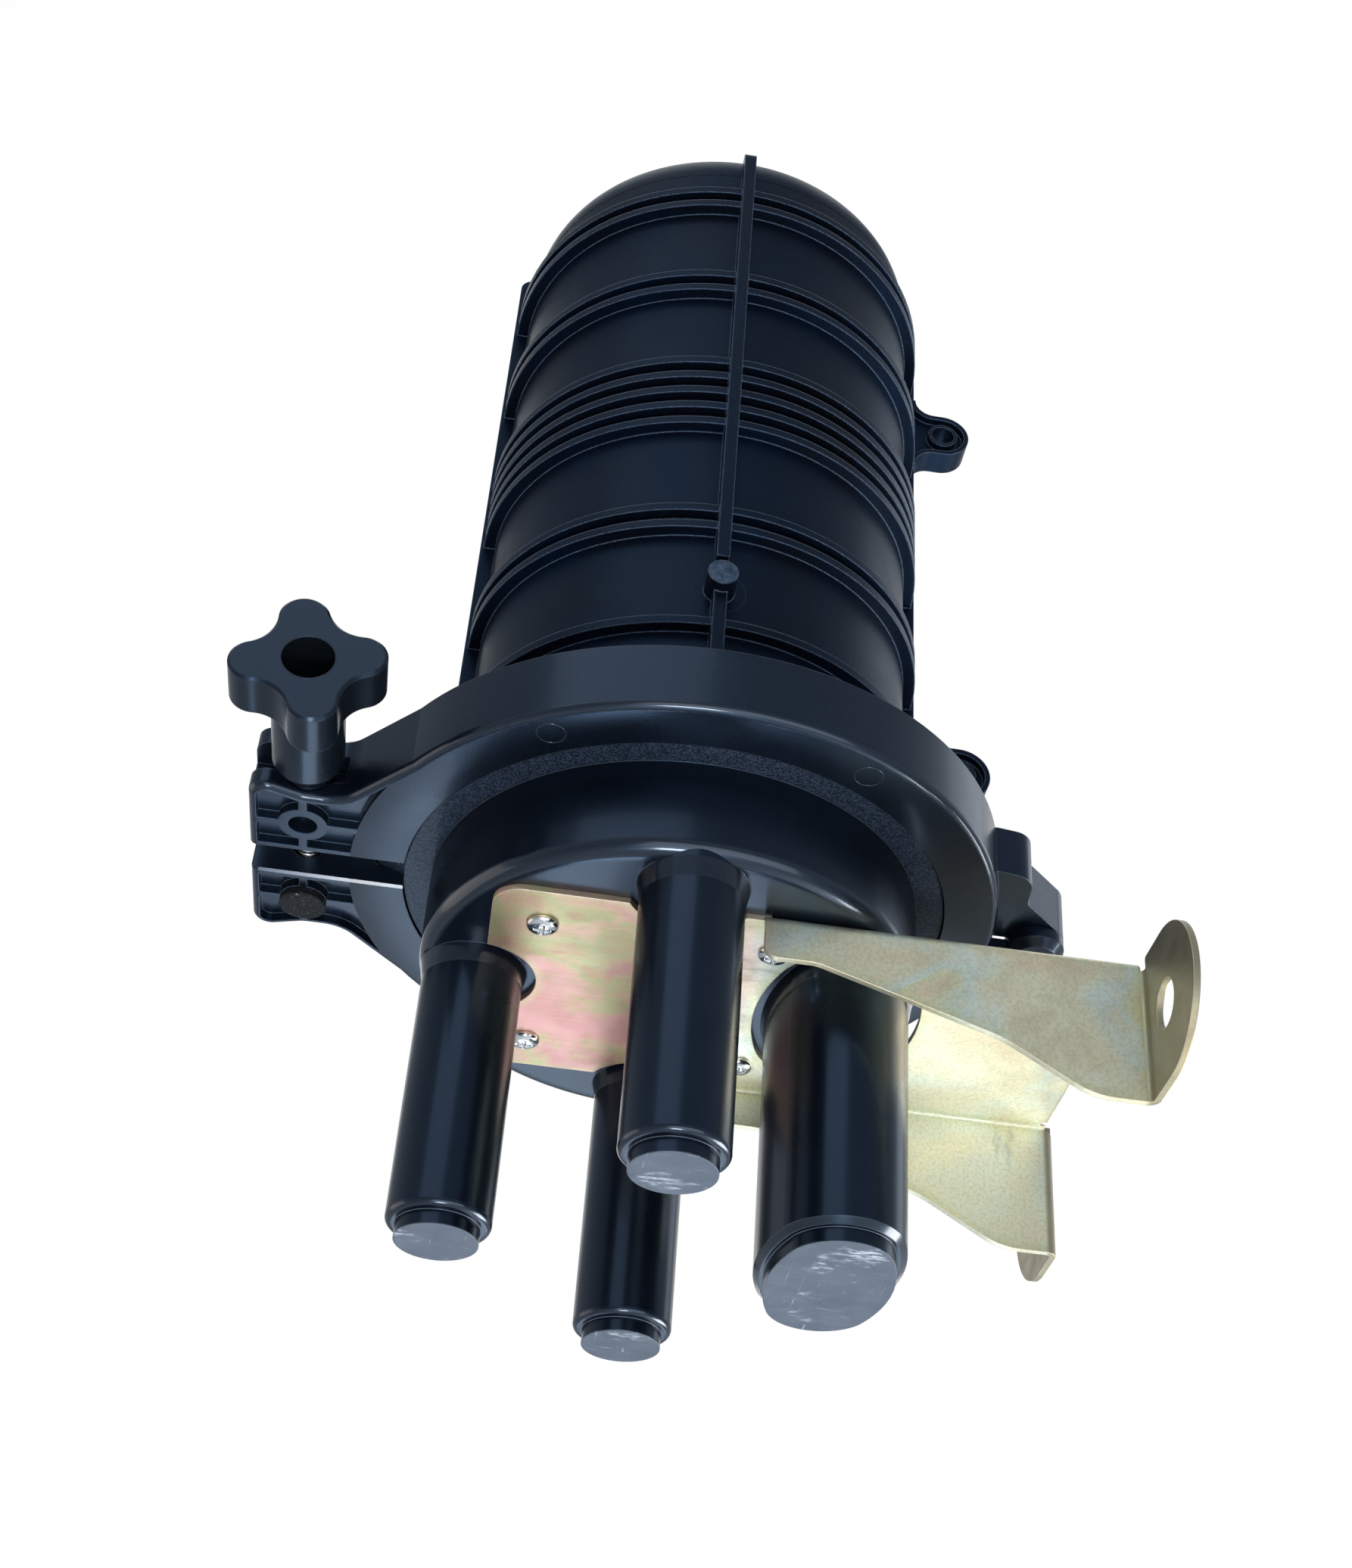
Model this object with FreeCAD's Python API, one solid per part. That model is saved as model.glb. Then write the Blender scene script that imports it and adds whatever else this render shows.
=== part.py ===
import FreeCAD, Part
import os
from math import atan2, cos, pi, radians, sin, sqrt, tan
from FreeCAD import Vector

# Dome splice closure, lengths in mm, angles in degrees.
# Built about the closure's own axis (Z, dome upward), with z = 0 at the lower face of the clamp.
# -Y is the side of the front clamp half; the parts are moved to the mount's origin on export.

# Clamp
clamp_outer_r = 102.5
clamp_width = 16.8
clamp_height = 23.4
clamp_wall = 7.0
clamp_lip = 4.6
clamp_groove_slope = 3.6
clamp_edge_r = 2.4
clamp_edge_bevel = 1.2
gap_edge_bevel = 0.8
ear_gap = 12.8
hinge_gap = 0.8
running_gap = 0.3

# Clamp ears, with the stud along Y through them
ear_end_reach = 30.8
ear_tip_y = 40.6
ear_dip_y = 34.9
ear_dip_width = 11.4
ear_join_turn = 34.0
ear_wall = 2.5
ear_rib = 2.5
ear_pocket_depth = 3.2
ear_corner_r = 5.5
stud_reach = 14.3
ear_boss_y = 20.6
ear_boss_r = 7.6
ear_hole_r = 4.45
ear_slot_reach = 12.0
ear_slot_wall = 6.8
ear_slot_y = 27.0
ear_seat_r = 9.5
ear_seat_y = 34.0

# Clamp hinge
hinge_reach = 15.3
knuckle_r = 9.4
knuckle_edge_r = 2.6
hinge_split_z = 6.2
arm_start_y = 35.6
arm_start_reach = 1.0
arm_crown_reach = 6.3
arm_crown_y = 34.0
arm_crown_r = 7.5
arm_valley_reach = 7.6
arm_valley_y = 20.4
arm_valley_r = 3.0
arm_turn = 42.0
hinge_pin_r = 3.0
hinge_pin_play = 0.06
hinge_pin_inset = 1.2

# Closing knob
knob_face_y = -86.8
knob_head_depth = 15.0
knob_head_r = 22.6
knob_lobes = 4
knob_lobe_turn = 13.0
knob_lobe_r = 7.4
knob_flute_r = 11.0
knob_rim = 0.9
knob_neck_r = 10.9
knob_neck_ease = 5.0
knob_neck_end_y = -35.7
knob_neck_end_r = 8.4
knob_well_r = 7.6
knob_floor = 8.0
bolt_r = 4.0
bolt_head_r = 6.4
bolt_head_depth = 8.0
bolt_socket_width = 6.0
bolt_socket_depth = 4.0
bolt_tip_r = 3.2
bolt_tip_start_y = 6.0
bolt_tip_y = 24.0
bolt_tip_bevel = 0.8
bolt_clearance = 0.4
washer_r = 7.2
nut_r = 6.3
nut_bore_r = 4.2
nut_proud = 0.3
nut_head_r = 7.4
nut_head_height = 2.4
nut_channel_r = 5.2

# Base and its capped ports
base_shoulder = 8.4
base_face_z = -31.0
base_edge_r = 5.0
base_wall = 4.4
base_floor = 4.0
joint_z = 11.7
flange_play = 1.0
neck_play = 0.5
shoulder_drop = 0.7
port_edge_gap = 0.8
port_r = 15.3
port_root_r = 16.4
port_root_length = 6.0
port_wall = 2.6
port_shoulder_z = -117.4
port_shoulder_bevel = 1.8
port_end_z = -122.0
port_neck_r = 12.2
port_end_wall = 7.0
oval_edge_gap = 0.9
oval_neck_half_x = 18.4
oval_neck_half_y = 31.4
oval_end_r = 15.5
boss_r = 5.6
boss_height = 12.0

# Seal between base and dome
seal_rim = 8.5
seal_width = 5.0
seal_depth = 4.5

# Dome
dome_r = 72.3
dome_wall = 3.2
dome_top_z = 294.5
dome_top_r = 20.0
flare_start_z = 29.0
flare_end_z = 46.0
dome_mouth_wall = 7.2
rib_reach = 4.2
rib_thickness = 3.0
rib_pitch = 7.2
rib_group_z = [54.1, 94.2, 140.8, 206.2, 251.3]
rib_counts = [1, 2, 5, 2, 2]
spine_reach = 5.3
spine_width = 4.2
spine_top_z = 283.0
spine_top_r = 5.0
gate_z = 71.7
gate_r = 4.8
gate_reach = 9.2
gate_relief = 10.2

# Dome lugs, in the plane of the +X spine
lug_hole_r = 4.3
lug_boss_r = 5.6
lug_thickness = 10.0
lug_pocket_depth = 3.0
lug_wall = 1.8
lug_root_r = 7.0
upper_lug_reach = 15.9
upper_lug_z = 228.3
upper_lug_r = 9.9
lower_lug_reach = 20.5
lower_lug_z = 67.0
lower_lug_r = 10.5

# Mounting bracket, one bent sheet
sheet = 2.0
bend_r = 1.5
bracket_half_width = 52.0
plate_half_width = 50.4
plate_left_x = -56.4
plate_corner_r = 9.0
port_cutout_gap = 2.9
flange_left_x = 22.5
flange_left_z = -46.0
flange_slope_start_x = 38.0
flange_slope_knee_x = 92.0
flange_slope_knee_z = -63.0
flange_flat_x = 118.0
flange_bottom_z = -78.2
web_end_x = 134.0
bracket_end_x = 137.0
tab_centre_y = 67.2
tab_centre_z = -54.4
tab_end_r = 23.8
tab_hole_r = 7.5
relief_r = 2.0

# Bracket screws
screw_left_x = -41.0
screw_right_x = 28.0
screw_y = 34.0
screw_r = 2.5
screw_head_r = 4.8
screw_head_height = 2.8
screw_hole_play = 0.3
screw_length = 11.0
recess_width = 1.3
recess_span = 5.6
recess_depth = 1.6

# Tray frame on the base bosses
frame_sheet = 2.0
frame_foot_left_x = -47.0
frame_foot_right_x = 34.0
frame_foot_half_y = 40.0
frame_upright_y = 24.0
frame_half_width = 30.0
frame_top_z = 262.0
frame_flange = 8.0
frame_slot_width = 12.0
frame_slot_height = 28.0
frame_slot_pitch = 52.0
frame_screw_r = 1.7
frame_screw_across = 6.2
frame_screw_head_height = 2.4
frame_screw_length = 7.0

# Splice trays
tray_count = 5
tray_pitch = 12.0
tray_depth = 10.0
tray_half_width = 45.0
tray_low_z = 50.0
tray_length = 205.0
tray_wall = 1.8
tray_corner = 11.0
tray_back_gap = 1.0
comb_count = 5
comb_pitch = 6.0
comb_rib = 1.4
comb_length = 42.0
comb_height = 6.0
guide_half_width = 17.0
guide_half_length = 19.0
guide_corner = 9.0
cover_thickness = 1.6
tray_hinge_z = 44.0
tray_hinge_pin_r = 2.0
tray_hinge_lug_x = 12.0
tray_hinge_lug_width = 5.0
tray_hinge_play = 0.05
holder_ear_x = 20.0
holder_ear_width = 4.0
holder_plate = 3.0
holder_drop = 9.0

# Loose-tube storage basket, behind the frame
basket_gap = 4.0
basket_corner_gap = 4.6
basket_corner_turn = 60.3
basket_low_z = 24.0
basket_high_z = 250.0
basket_wall = 2.0
basket_corner = 13.0
basket_lip = 8.0
basket_boss_r = 5.0
basket_screw_r = 1.7
basket_screw_z = 60.0
basket_screw_rows = 2
basket_screw_span = 150.0

# Strap round the tray stack
strap_width = 20.0
strap_thickness = 1.6
strap_z = 150.0
strap_play = 0.4

# Strength-member anchors on the frame foot
anchor_x = -18.0
anchor_width = 16.0
anchor_depth = 10.0
anchor_height = 12.0
anchor_inset = 2.0
anchor_screw_r = 2.0
anchor_screw_across = 6.8
anchor_head_height = 2.6
anchor_groove_r = 1.6

# Places that follow from the sizes above
stud_x = -clamp_outer_r - stud_reach
stud_z = clamp_height / 2
ear_end_x = -clamp_outer_r - ear_end_reach
hinge_x = clamp_outer_r + hinge_reach
clamp_inner_r = clamp_outer_r - clamp_width
groove_r = clamp_outer_r - clamp_wall
flange_r = groove_r - flange_play
neck_r = clamp_inner_r - neck_play
seal_outer_r = flange_r - seal_rim
base_r = neck_r - base_shoulder
base_inner_r = base_r - base_wall
base_floor_z = base_face_z + base_floor
port_circle_r = base_r - port_edge_gap - port_root_r
oval_x = base_r - oval_edge_gap - port_root_r + port_neck_r - oval_neck_half_x
dome_inner_r = dome_r - dome_wall
dome_mouth_r = neck_r - dome_mouth_wall
rib_out_r = dome_r + rib_reach
spine_out_r = dome_r + spine_reach
gate_face_y = -dome_r - gate_reach
upper_lug_x = dome_r + upper_lug_reach
lower_lug_x = dome_r + lower_lug_reach
bracket_low_z = base_face_z - sheet
foot_low_z = base_floor_z + boss_height
foot_high_z = foot_low_z + frame_sheet
basket_corner_r = dome_inner_r - basket_corner_gap
basket_half_width = basket_corner_r * cos(radians(basket_corner_turn))
basket_back_y = basket_corner_r * sin(radians(basket_corner_turn))
knob_seat_y = knob_neck_end_y - knob_floor
mount_origin = Vector(bracket_end_x, 0, tab_centre_z)

X_AXIS = Vector(1, 0, 0)
Y_AXIS = Vector(0, 1, 0)
Z_AXIS = Vector(0, 0, 1)
CENTRE = Vector(0, 0, 0)


def in_xy(z):
    return lambda u, v: Vector(u, v, z)


def in_xz(y):
    return lambda u, v: Vector(u, y, v)


def in_yz(x):
    return lambda u, v: Vector(x, u, v)


def box(x, y, z):
    """Box between the two limits given on each axis."""
    return Part.makeBox(x[1] - x[0], y[1] - y[0], z[1] - z[0], Vector(x[0], y[0], z[0]))


def rod_z(x, y, radius, z_low, z_high):
    return Part.makeCylinder(radius, z_high - z_low, Vector(x, y, z_low), Z_AXIS)


def rod_y(x, z, radius, y_low, y_high):
    return Part.makeCylinder(radius, y_high - y_low, Vector(x, y_low, z), Y_AXIS)


def rod_x(y, z, radius, x_low, x_high):
    return Part.makeCylinder(radius, x_high - x_low, Vector(x_low, y, z), X_AXIS)


def corner_arc(before, here, after, radius):
    """Start, middle and end of the tangent arc that rounds one corner."""
    back = (before - here).normalize()
    ahead = (after - here).normalize()
    half_angle = back.getAngle(ahead) / 2
    set_back = radius / tan(half_angle)
    inward = (back + ahead).normalize()
    middle = here + inward * (radius / sin(half_angle) - radius)
    return here + back * set_back, middle, here + ahead * set_back


def rounded_wire(corners, plane):
    """Closed wire through (u, v, corner radius) points, mapped by plane."""
    flat = [Vector(u, v, 0) for u, v, radius in corners]
    pieces = []
    for i, (u, v, radius) in enumerate(corners):
        before = flat[i - 1]
        after = flat[(i + 1) % len(flat)]
        if radius > 0:
            pieces.append(corner_arc(before, flat[i], after, radius))
        else:
            pieces.append((flat[i], None, flat[i]))
    edges = []
    for i, (start, middle, end) in enumerate(pieces):
        if middle is not None:
            points = [plane(p.x, p.y) for p in (start, middle, end)]
            edges.append(Part.Arc(*points).toShape())
        following = pieces[(i + 1) % len(pieces)][0]
        if end.distanceToPoint(following) > 1e-6:
            edges.append(Part.makeLine(plane(end.x, end.y), plane(following.x, following.y)))
    return Part.Wire(edges)


def prism(corners, plane, sweep):
    return Part.Face(rounded_wire(corners, plane)).extrude(sweep)


def eased(u, v, radius, turn, steps=3):
    """Points that round an outline's square corner; turn says which way the corner points."""
    su, sv = turn
    points = []
    for i in range(steps + 1):
        angle = i * pi / 2 / steps
        points.append((u + su * radius * (cos(angle) - 1), v + sv * radius * (sin(angle) - 1), 0))
    return points


def turned(corners, x=0.0, y=0.0):
    """Solid of revolution about a line along Z, from (radius, z, corner radius) points."""
    face = Part.Face(rounded_wire(corners, in_xz(0)))
    body = face.revolve(CENTRE, Z_AXIS, 360)
    return body.translated(Vector(x, y, 0))


def fuse_all(shapes):
    return shapes[0].multiFuse(shapes[1:]).removeSplitter()


def cut_all(shape, tools):
    return shape.cut(Part.makeCompound(tools)).removeSplitter()


def spaced(count, pitch):
    """Offsets of a centred row."""
    return [(i - (count - 1) / 2) * pitch for i in range(count)]


def hexagon(across):
    radius = across / sqrt(3)
    return [(radius * cos(i * pi / 3), radius * sin(i * pi / 3), 0) for i in range(6)]


def hex_screw(radius, length, across, head_height):
    """Screw along Z with its head's seat at the origin and its shank below."""
    head = prism(hexagon(across), in_xy(0), Vector(0, 0, head_height))
    return head.fuse(rod_z(0, 0, radius, -length, 0)).removeSplitter()


def clipped_rectangle(half_width, low, high, clip):
    """Outline with its four corners cut at 45 degrees."""
    w = half_width
    corners = [
        (clip - w, low),
        (w - clip, low),
        (w, low + clip),
        (w, high - clip),
        (w - clip, high),
        (clip - w, high),
        (-w, high - clip),
        (-w, low + clip),
    ]
    return [(u, v, 0) for u, v in corners]


def flat_edges(shape, z):
    return [e for e in shape.Edges if abs(e.BoundBox.ZMin - z) < 0.01 and e.BoundBox.ZLength < 0.01]


# Clamp

def outer_edges(shape, z):
    """Edges of a flat face, without those along the gaps between the clamp halves."""
    return [e for e in flat_edges(shape, z) if e.BoundBox.YLength > 0.01]


def clamp_room():
    """Bore of the closed band, with the tapered groove round the flanges of base and dome."""
    low = clamp_lip
    high = clamp_height - clamp_lip
    section = [
        (0, 0, 0),
        (clamp_inner_r, 0, 0),
        (clamp_inner_r, low, 0),
        (groove_r, low + clamp_groove_slope, 0),
        (groove_r, high - clamp_groove_slope, 0),
        (clamp_inner_r, high, 0),
        (clamp_inner_r, clamp_height, 0),
        (0, clamp_height, 0),
    ]
    return turned(section)


def half_space(side):
    """Room that one clamp half may take: wide ear gap at -X, narrow hinge gap at +X."""
    reach = -2 * ear_end_x
    left = box((-reach, 0), (ear_gap / 2, reach), (-1, clamp_height + 1))
    right = box((0, reach), (hinge_gap / 2, reach), (-1, clamp_height + 1))
    room = left.fuse(right)
    return room if side > 0 else room.mirror(CENTRE, Y_AXIS)


def ear_outline(side):
    """Ear in plan: blunt tip, dip under the knob, sweep into the band."""
    band_x = -clamp_outer_r * cos(radians(ear_join_turn))
    band_y = clamp_outer_r * sin(radians(ear_join_turn))
    corners = [
        (ear_end_x, ear_gap / 2, 0),
        (ear_end_x, ear_tip_y, ear_corner_r),
        (stud_x, ear_dip_y, 9.0),
        (stud_x + ear_dip_width, ear_dip_y, 12.0),
        (band_x, band_y, 0),
        (-clamp_inner_r - clamp_edge_r, ear_gap / 2, 0),
    ]
    return [(x, side * y, radius) for x, y, radius in corners]


def ear_pocket(side, z_low):
    """Ribbed recess in one flat face of an ear."""
    depth = Vector(0, 0, ear_pocket_depth)
    outline = rounded_wire(ear_outline(side), in_xy(z_low))
    inner = outline.makeOffset2D(-ear_wall)
    pocket = Part.Face(inner).extrude(depth)
    reach = abs(ear_end_x)
    z_high = z_low + ear_pocket_depth
    keep = [
        rod_z(0, 0, clamp_outer_r, z_low, z_high),
        rod_z(stud_x, side * ear_boss_y, ear_boss_r, z_low, z_high),
        box((stud_x - ear_rib / 2, stud_x + ear_rib / 2), (-reach, reach), (z_low, z_high)),
        box((-reach, 0), (side * ear_boss_y - ear_rib / 2, side * ear_boss_y + ear_rib / 2), (z_low, z_high)),
    ]
    return cut_all(pocket, keep)


def ear_seat():
    """Slot that leaves two flanges on the front ear, and the spot face for the knob's washer."""
    across = (ear_end_x, stud_x + ear_slot_reach)
    slot = box(across, (-ear_tip_y, -ear_slot_y), (ear_slot_wall, clamp_height - ear_slot_wall))
    return slot.fuse(rod_y(stud_x, stud_z, ear_seat_r, -ear_tip_y, -ear_seat_y))


def clamp_body(side):
    """Half band with its ear: low outer edge rounded, the other edges of the flat faces bevelled."""
    band = rod_z(0, 0, clamp_outer_r, 0, clamp_height).common(half_space(side))
    ear = prism(ear_outline(side), in_xy(0), Vector(0, 0, clamp_height))
    solid = band.fuse(ear).removeSplitter()
    solid = solid.makeFillet(clamp_edge_r, outer_edges(solid, 0))
    solid = solid.makeChamfer(clamp_edge_bevel, outer_edges(solid, clamp_height))
    gap_edges = [e for e in flat_edges(solid, 0) if e.BoundBox.YLength < 0.01 and e.CenterOfMass.x < 0]
    solid = solid.makeChamfer(gap_edge_bevel, gap_edges)
    return cut_all(solid, [ear_pocket(side, 0), ear_pocket(side, clamp_height - ear_pocket_depth)])


def hinge_arm(side, z_low, z_high):
    """Arm from the band to one knuckle."""
    height = Vector(0, 0, z_high - z_low)
    half_gap = hinge_gap / 2
    turn = radians(arm_turn)
    corners = [
        (groove_r, half_gap, 0),
        (sqrt(groove_r ** 2 - arm_start_y ** 2), arm_start_y, 0),
        (sqrt(clamp_outer_r ** 2 - arm_start_y ** 2) + arm_start_reach, arm_start_y, 1.0),
        (clamp_outer_r + arm_crown_reach, arm_crown_y, arm_crown_r),
        (clamp_outer_r + arm_valley_reach, arm_valley_y, arm_valley_r),
        (hinge_x + knuckle_r * cos(turn), knuckle_r * sin(turn), 0),
        (hinge_x, half_gap, 0),
    ]
    arm = prism([(x, side * y, radius) for x, y, radius in corners], in_xy(z_low), height)
    knuckle = rod_z(hinge_x, 0, knuckle_r, z_low, z_high)
    return arm.fuse(knuckle).removeSplitter()


def rounded_knuckle_end(z_low, inward):
    """Ring that trims the edge of a knuckle's end face."""
    z_edge = z_low + inward * knuckle_edge_r
    section = [
        (knuckle_r - knuckle_edge_r, z_low, 0),
        (knuckle_r + 1, z_low, 0),
        (knuckle_r + 1, z_edge, 0),
        (knuckle_r, z_edge, 0),
    ]
    return turned(section, hinge_x, 0)


def clamp_half(side, knuckle_z, hinge_bore_r):
    arm = hinge_arm(side, knuckle_z[0], knuckle_z[1])
    half = fuse_all([clamp_body(side), arm])
    hinge_bore = rod_z(hinge_x, 0, hinge_bore_r, knuckle_z[0], knuckle_z[1])
    return cut_all(half, [hinge_bore, clamp_room()])


def make_clamp_front():
    knuckle_z = (hinge_split_z + running_gap, clamp_height)
    half = clamp_half(-1, knuckle_z, hinge_pin_r + hinge_pin_play)
    boss_hole = rod_z(stud_x, -ear_boss_y, ear_hole_r, 0, clamp_height)
    channel = rod_y(stud_x, stud_z, bolt_r + bolt_clearance, -ear_tip_y, 0)
    return cut_all(half, [boss_hole, channel, ear_seat()])


def make_clamp_rear():
    knuckle_z = (0, hinge_split_z)
    half = clamp_half(1, knuckle_z, hinge_pin_r)
    boss_hole = rod_z(stud_x, ear_boss_y, nut_r, 0, clamp_height)
    channel = rod_y(stud_x, stud_z, nut_channel_r, 0, ear_boss_y)
    return cut_all(half, [boss_hole, channel, rounded_knuckle_end(0, 1)])


def make_hinge_pin():
    return rod_z(hinge_x, 0, hinge_pin_r, hinge_pin_inset, clamp_height - hinge_pin_inset)


# Knob and its bolt, both about the line x = stud_x, z = stud_z

def along_stud(shape):
    """Turn a solid built about Z so that +Z becomes -Y, on the stud's line."""
    shape.rotate(CENTRE, X_AXIS, 90)
    shape.translate(Vector(stud_x, 0, stud_z))
    return shape


def knob_outline(z):
    """Round lobes joined by tangent hollows."""
    lobe_offset = knob_head_r - knob_lobe_r
    half_step = pi / knob_lobes
    reach = knob_lobe_r + knob_flute_r
    flute_offset = lobe_offset * cos(half_step) + sqrt(reach ** 2 - (lobe_offset * sin(half_step)) ** 2)
    edges = []
    for i in range(knob_lobes):
        at = radians(knob_lobe_turn) + 2 * half_step * i
        lobe = Vector(lobe_offset * cos(at), lobe_offset * sin(at), z)
        before = Vector(flute_offset * cos(at - half_step), flute_offset * sin(at - half_step), z)
        flute = Vector(flute_offset * cos(at + half_step), flute_offset * sin(at + half_step), z)
        following = Vector(lobe_offset * cos(at + 2 * half_step), lobe_offset * sin(at + 2 * half_step), z)
        start = lobe + (before - lobe) * (knob_lobe_r / reach)
        tip = lobe + Vector(cos(at), sin(at), 0) * knob_lobe_r
        end = lobe + (flute - lobe) * (knob_lobe_r / reach)
        valley = flute - Vector(cos(at + half_step), sin(at + half_step), 0) * knob_flute_r
        leave = following + (flute - following) * (knob_lobe_r / reach)
        edges.append(Part.Arc(start, tip, end).toShape())
        edges.append(Part.Arc(end, valley, leave).toShape())
    return Part.Wire(edges)


def knob_head():
    top = -knob_face_y
    head = Part.Face(knob_outline(top - knob_head_depth)).extrude(Vector(0, 0, knob_head_depth))
    return head.makeChamfer(knob_rim, flat_edges(head, top))


def knob_neck():
    end = -knob_neck_end_y
    section = [
        (0, end, 0),
        (knob_neck_end_r, end, 0),
        (knob_neck_r, end + knob_neck_ease, 0),
        (knob_neck_r, -knob_face_y - knob_head_depth / 2, 0),
        (0, -knob_face_y - knob_head_depth / 2, 0),
    ]
    return turned(section)


def make_knob():
    well = rod_z(0, 0, knob_well_r, -knob_seat_y, -knob_face_y)
    bore = rod_z(0, 0, bolt_r, -knob_neck_end_y, -knob_face_y)
    knob = cut_all(knob_head().fuse(knob_neck()), [well, bore])
    return along_stud(knob)


def make_knob_bolt():
    seat = -knob_seat_y
    head_top = seat + bolt_head_depth
    section = [
        (0, -bolt_tip_y, 0),
        (bolt_tip_r - bolt_tip_bevel, -bolt_tip_y, 0),
        (bolt_tip_r, bolt_tip_bevel - bolt_tip_y, 0),
        (bolt_tip_r, -bolt_tip_start_y, 0),
        (bolt_r, -bolt_tip_start_y, 0),
        (bolt_r, seat, 0),
        (bolt_head_r, seat, 0),
        (bolt_head_r, head_top, 0),
        (0, head_top, 0),
    ]
    z = head_top - bolt_socket_depth
    socket = prism(hexagon(bolt_socket_width), in_xy(z), Vector(0, 0, bolt_socket_depth))
    return along_stud(turned(section).cut(socket))


def make_knob_washer():
    end = -knob_neck_end_y
    disc = rod_z(0, 0, washer_r, ear_seat_y, end)
    return along_stud(disc.cut(rod_z(0, 0, bolt_r + bolt_clearance / 2, ear_seat_y, end)))


def make_barrel_nut():
    shank = rod_z(stud_x, ear_boss_y, nut_r, 0, clamp_height + nut_proud)
    nut = shank.fuse(rod_z(stud_x, ear_boss_y, nut_head_r, -nut_head_height, 0))
    return nut.cut(rod_y(stud_x, stud_z, nut_bore_r, 0, 2 * ear_boss_y)).removeSplitter()


# Base

def base_shell():
    section = [(0, base_face_z, 0)]
    section += eased(base_r, base_face_z, base_edge_r, (1, -1))[::-1]
    section += [
        (base_r, shoulder_drop, 0),
        (neck_r, shoulder_drop, 0),
        (neck_r, clamp_lip + running_gap, 0),
        (flange_r, clamp_lip + running_gap + clamp_groove_slope, 0),
        (flange_r, joint_z, 0),
        (base_inner_r, joint_z, 0),
        (base_inner_r, base_floor_z, 0),
        (0, base_floor_z, 0),
    ]
    return turned(section)


def round_port_places():
    return [(0, -port_circle_r), (-port_circle_r, 0), (0, port_circle_r)]


def round_port(x, y):
    root_end = base_face_z - port_root_length
    section = [
        (0, base_floor_z, 0),
        (port_root_r, base_floor_z, 0),
        (port_root_r, base_face_z, 0),
        (port_r, root_end, 0),
        (port_r, port_shoulder_z + port_shoulder_bevel, 0),
        (port_r - port_shoulder_bevel, port_shoulder_z, 0),
        (port_neck_r, port_shoulder_z, 0),
        (port_neck_r, port_end_z, 0),
        (0, port_end_z, 0),
    ]
    return turned(section, x, y)


def round_port_hollow(x, y):
    return rod_z(x, y, port_r - port_wall, port_end_z + port_end_wall, base_floor_z)


def oval_wire(grow, z):
    """Four tangent arcs, grown evenly from the oval port's neck."""
    side_centre_y = oval_neck_half_y - oval_end_r
    side_r = (oval_neck_half_x ** 2 + side_centre_y ** 2 - oval_end_r ** 2) / (2 * (oval_neck_half_x - oval_end_r))
    side_offset = side_r - oval_neck_half_x
    turn = atan2(side_centre_y, side_offset)
    end_r = oval_end_r + grow
    wide_r = side_r + grow
    joint = Vector(end_r * cos(turn), side_centre_y + end_r * sin(turn), 0)
    edges = []
    for sx, sy in ((1, 1), (-1, -1)):
        corner = Vector(oval_x + sx * joint.x, sy * joint.y, z)
        across = Vector(oval_x - sx * joint.x, sy * joint.y, z)
        crown = Vector(oval_x, sy * (side_centre_y + end_r), z)
        edges.append(Part.Arc(corner, crown, across).toShape())
        below = Vector(oval_x - sx * joint.x, -sy * joint.y, z)
        middle = Vector(oval_x - sx * (wide_r - side_offset), 0, z)
        edges.append(Part.Arc(across, middle, below).toShape())
    return Part.Wire(Part.__sortEdges__(edges))


def oval_solid(grow_low, z_low, grow_high, z_high):
    return Part.makeLoft([oval_wire(grow_low, z_low), oval_wire(grow_high, z_high)], True, True)


def oval_port():
    grow = port_r - port_neck_r
    root_grow = port_root_r - port_neck_r
    root_end = base_face_z - port_root_length
    bevel_end = port_shoulder_z + port_shoulder_bevel
    neck = oval_solid(0, port_end_z, 0, port_shoulder_z)
    shoulder = oval_solid(grow - port_shoulder_bevel, port_shoulder_z, grow, bevel_end)
    trunk = oval_solid(grow, bevel_end, grow, root_end)
    root = oval_solid(grow, root_end, root_grow, base_face_z)
    collar = oval_solid(root_grow, base_face_z, root_grow, base_floor_z)
    return fuse_all([neck, shoulder, trunk, root, collar])


def oval_port_hollow():
    grow = port_r - port_neck_r - port_wall
    return oval_solid(grow, port_end_z + port_end_wall, grow, base_floor_z)


def screw_places():
    return [(x, side * screw_y) for x in (screw_left_x, screw_right_x) for side in (-1, 1)]


def make_base():
    ports = [round_port(x, y) for x, y in round_port_places()]
    bosses = [rod_z(x, y, boss_r, base_floor_z, foot_low_z) for x, y in screw_places()]
    solid = fuse_all([base_shell(), oval_port()] + ports + bosses)
    cuts = [round_port_hollow(x, y) for x, y in round_port_places()]
    cuts.append(oval_port_hollow())
    cuts.append(seal_section_ring())
    for x, y in screw_places():
        cuts.append(rod_z(x, y, screw_r, base_face_z, bracket_low_z + screw_length))
        cuts.append(rod_z(x, y, frame_screw_r, foot_high_z - frame_screw_length, foot_low_z))
    return cut_all(solid, cuts)


def seal_section_ring():
    section = [
        (seal_outer_r - seal_width, joint_z - seal_depth, 0),
        (seal_outer_r, joint_z - seal_depth, 0),
        (seal_outer_r, joint_z, 0),
        (seal_outer_r - seal_width, joint_z, 0),
    ]
    return turned(section)


# Dome

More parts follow.
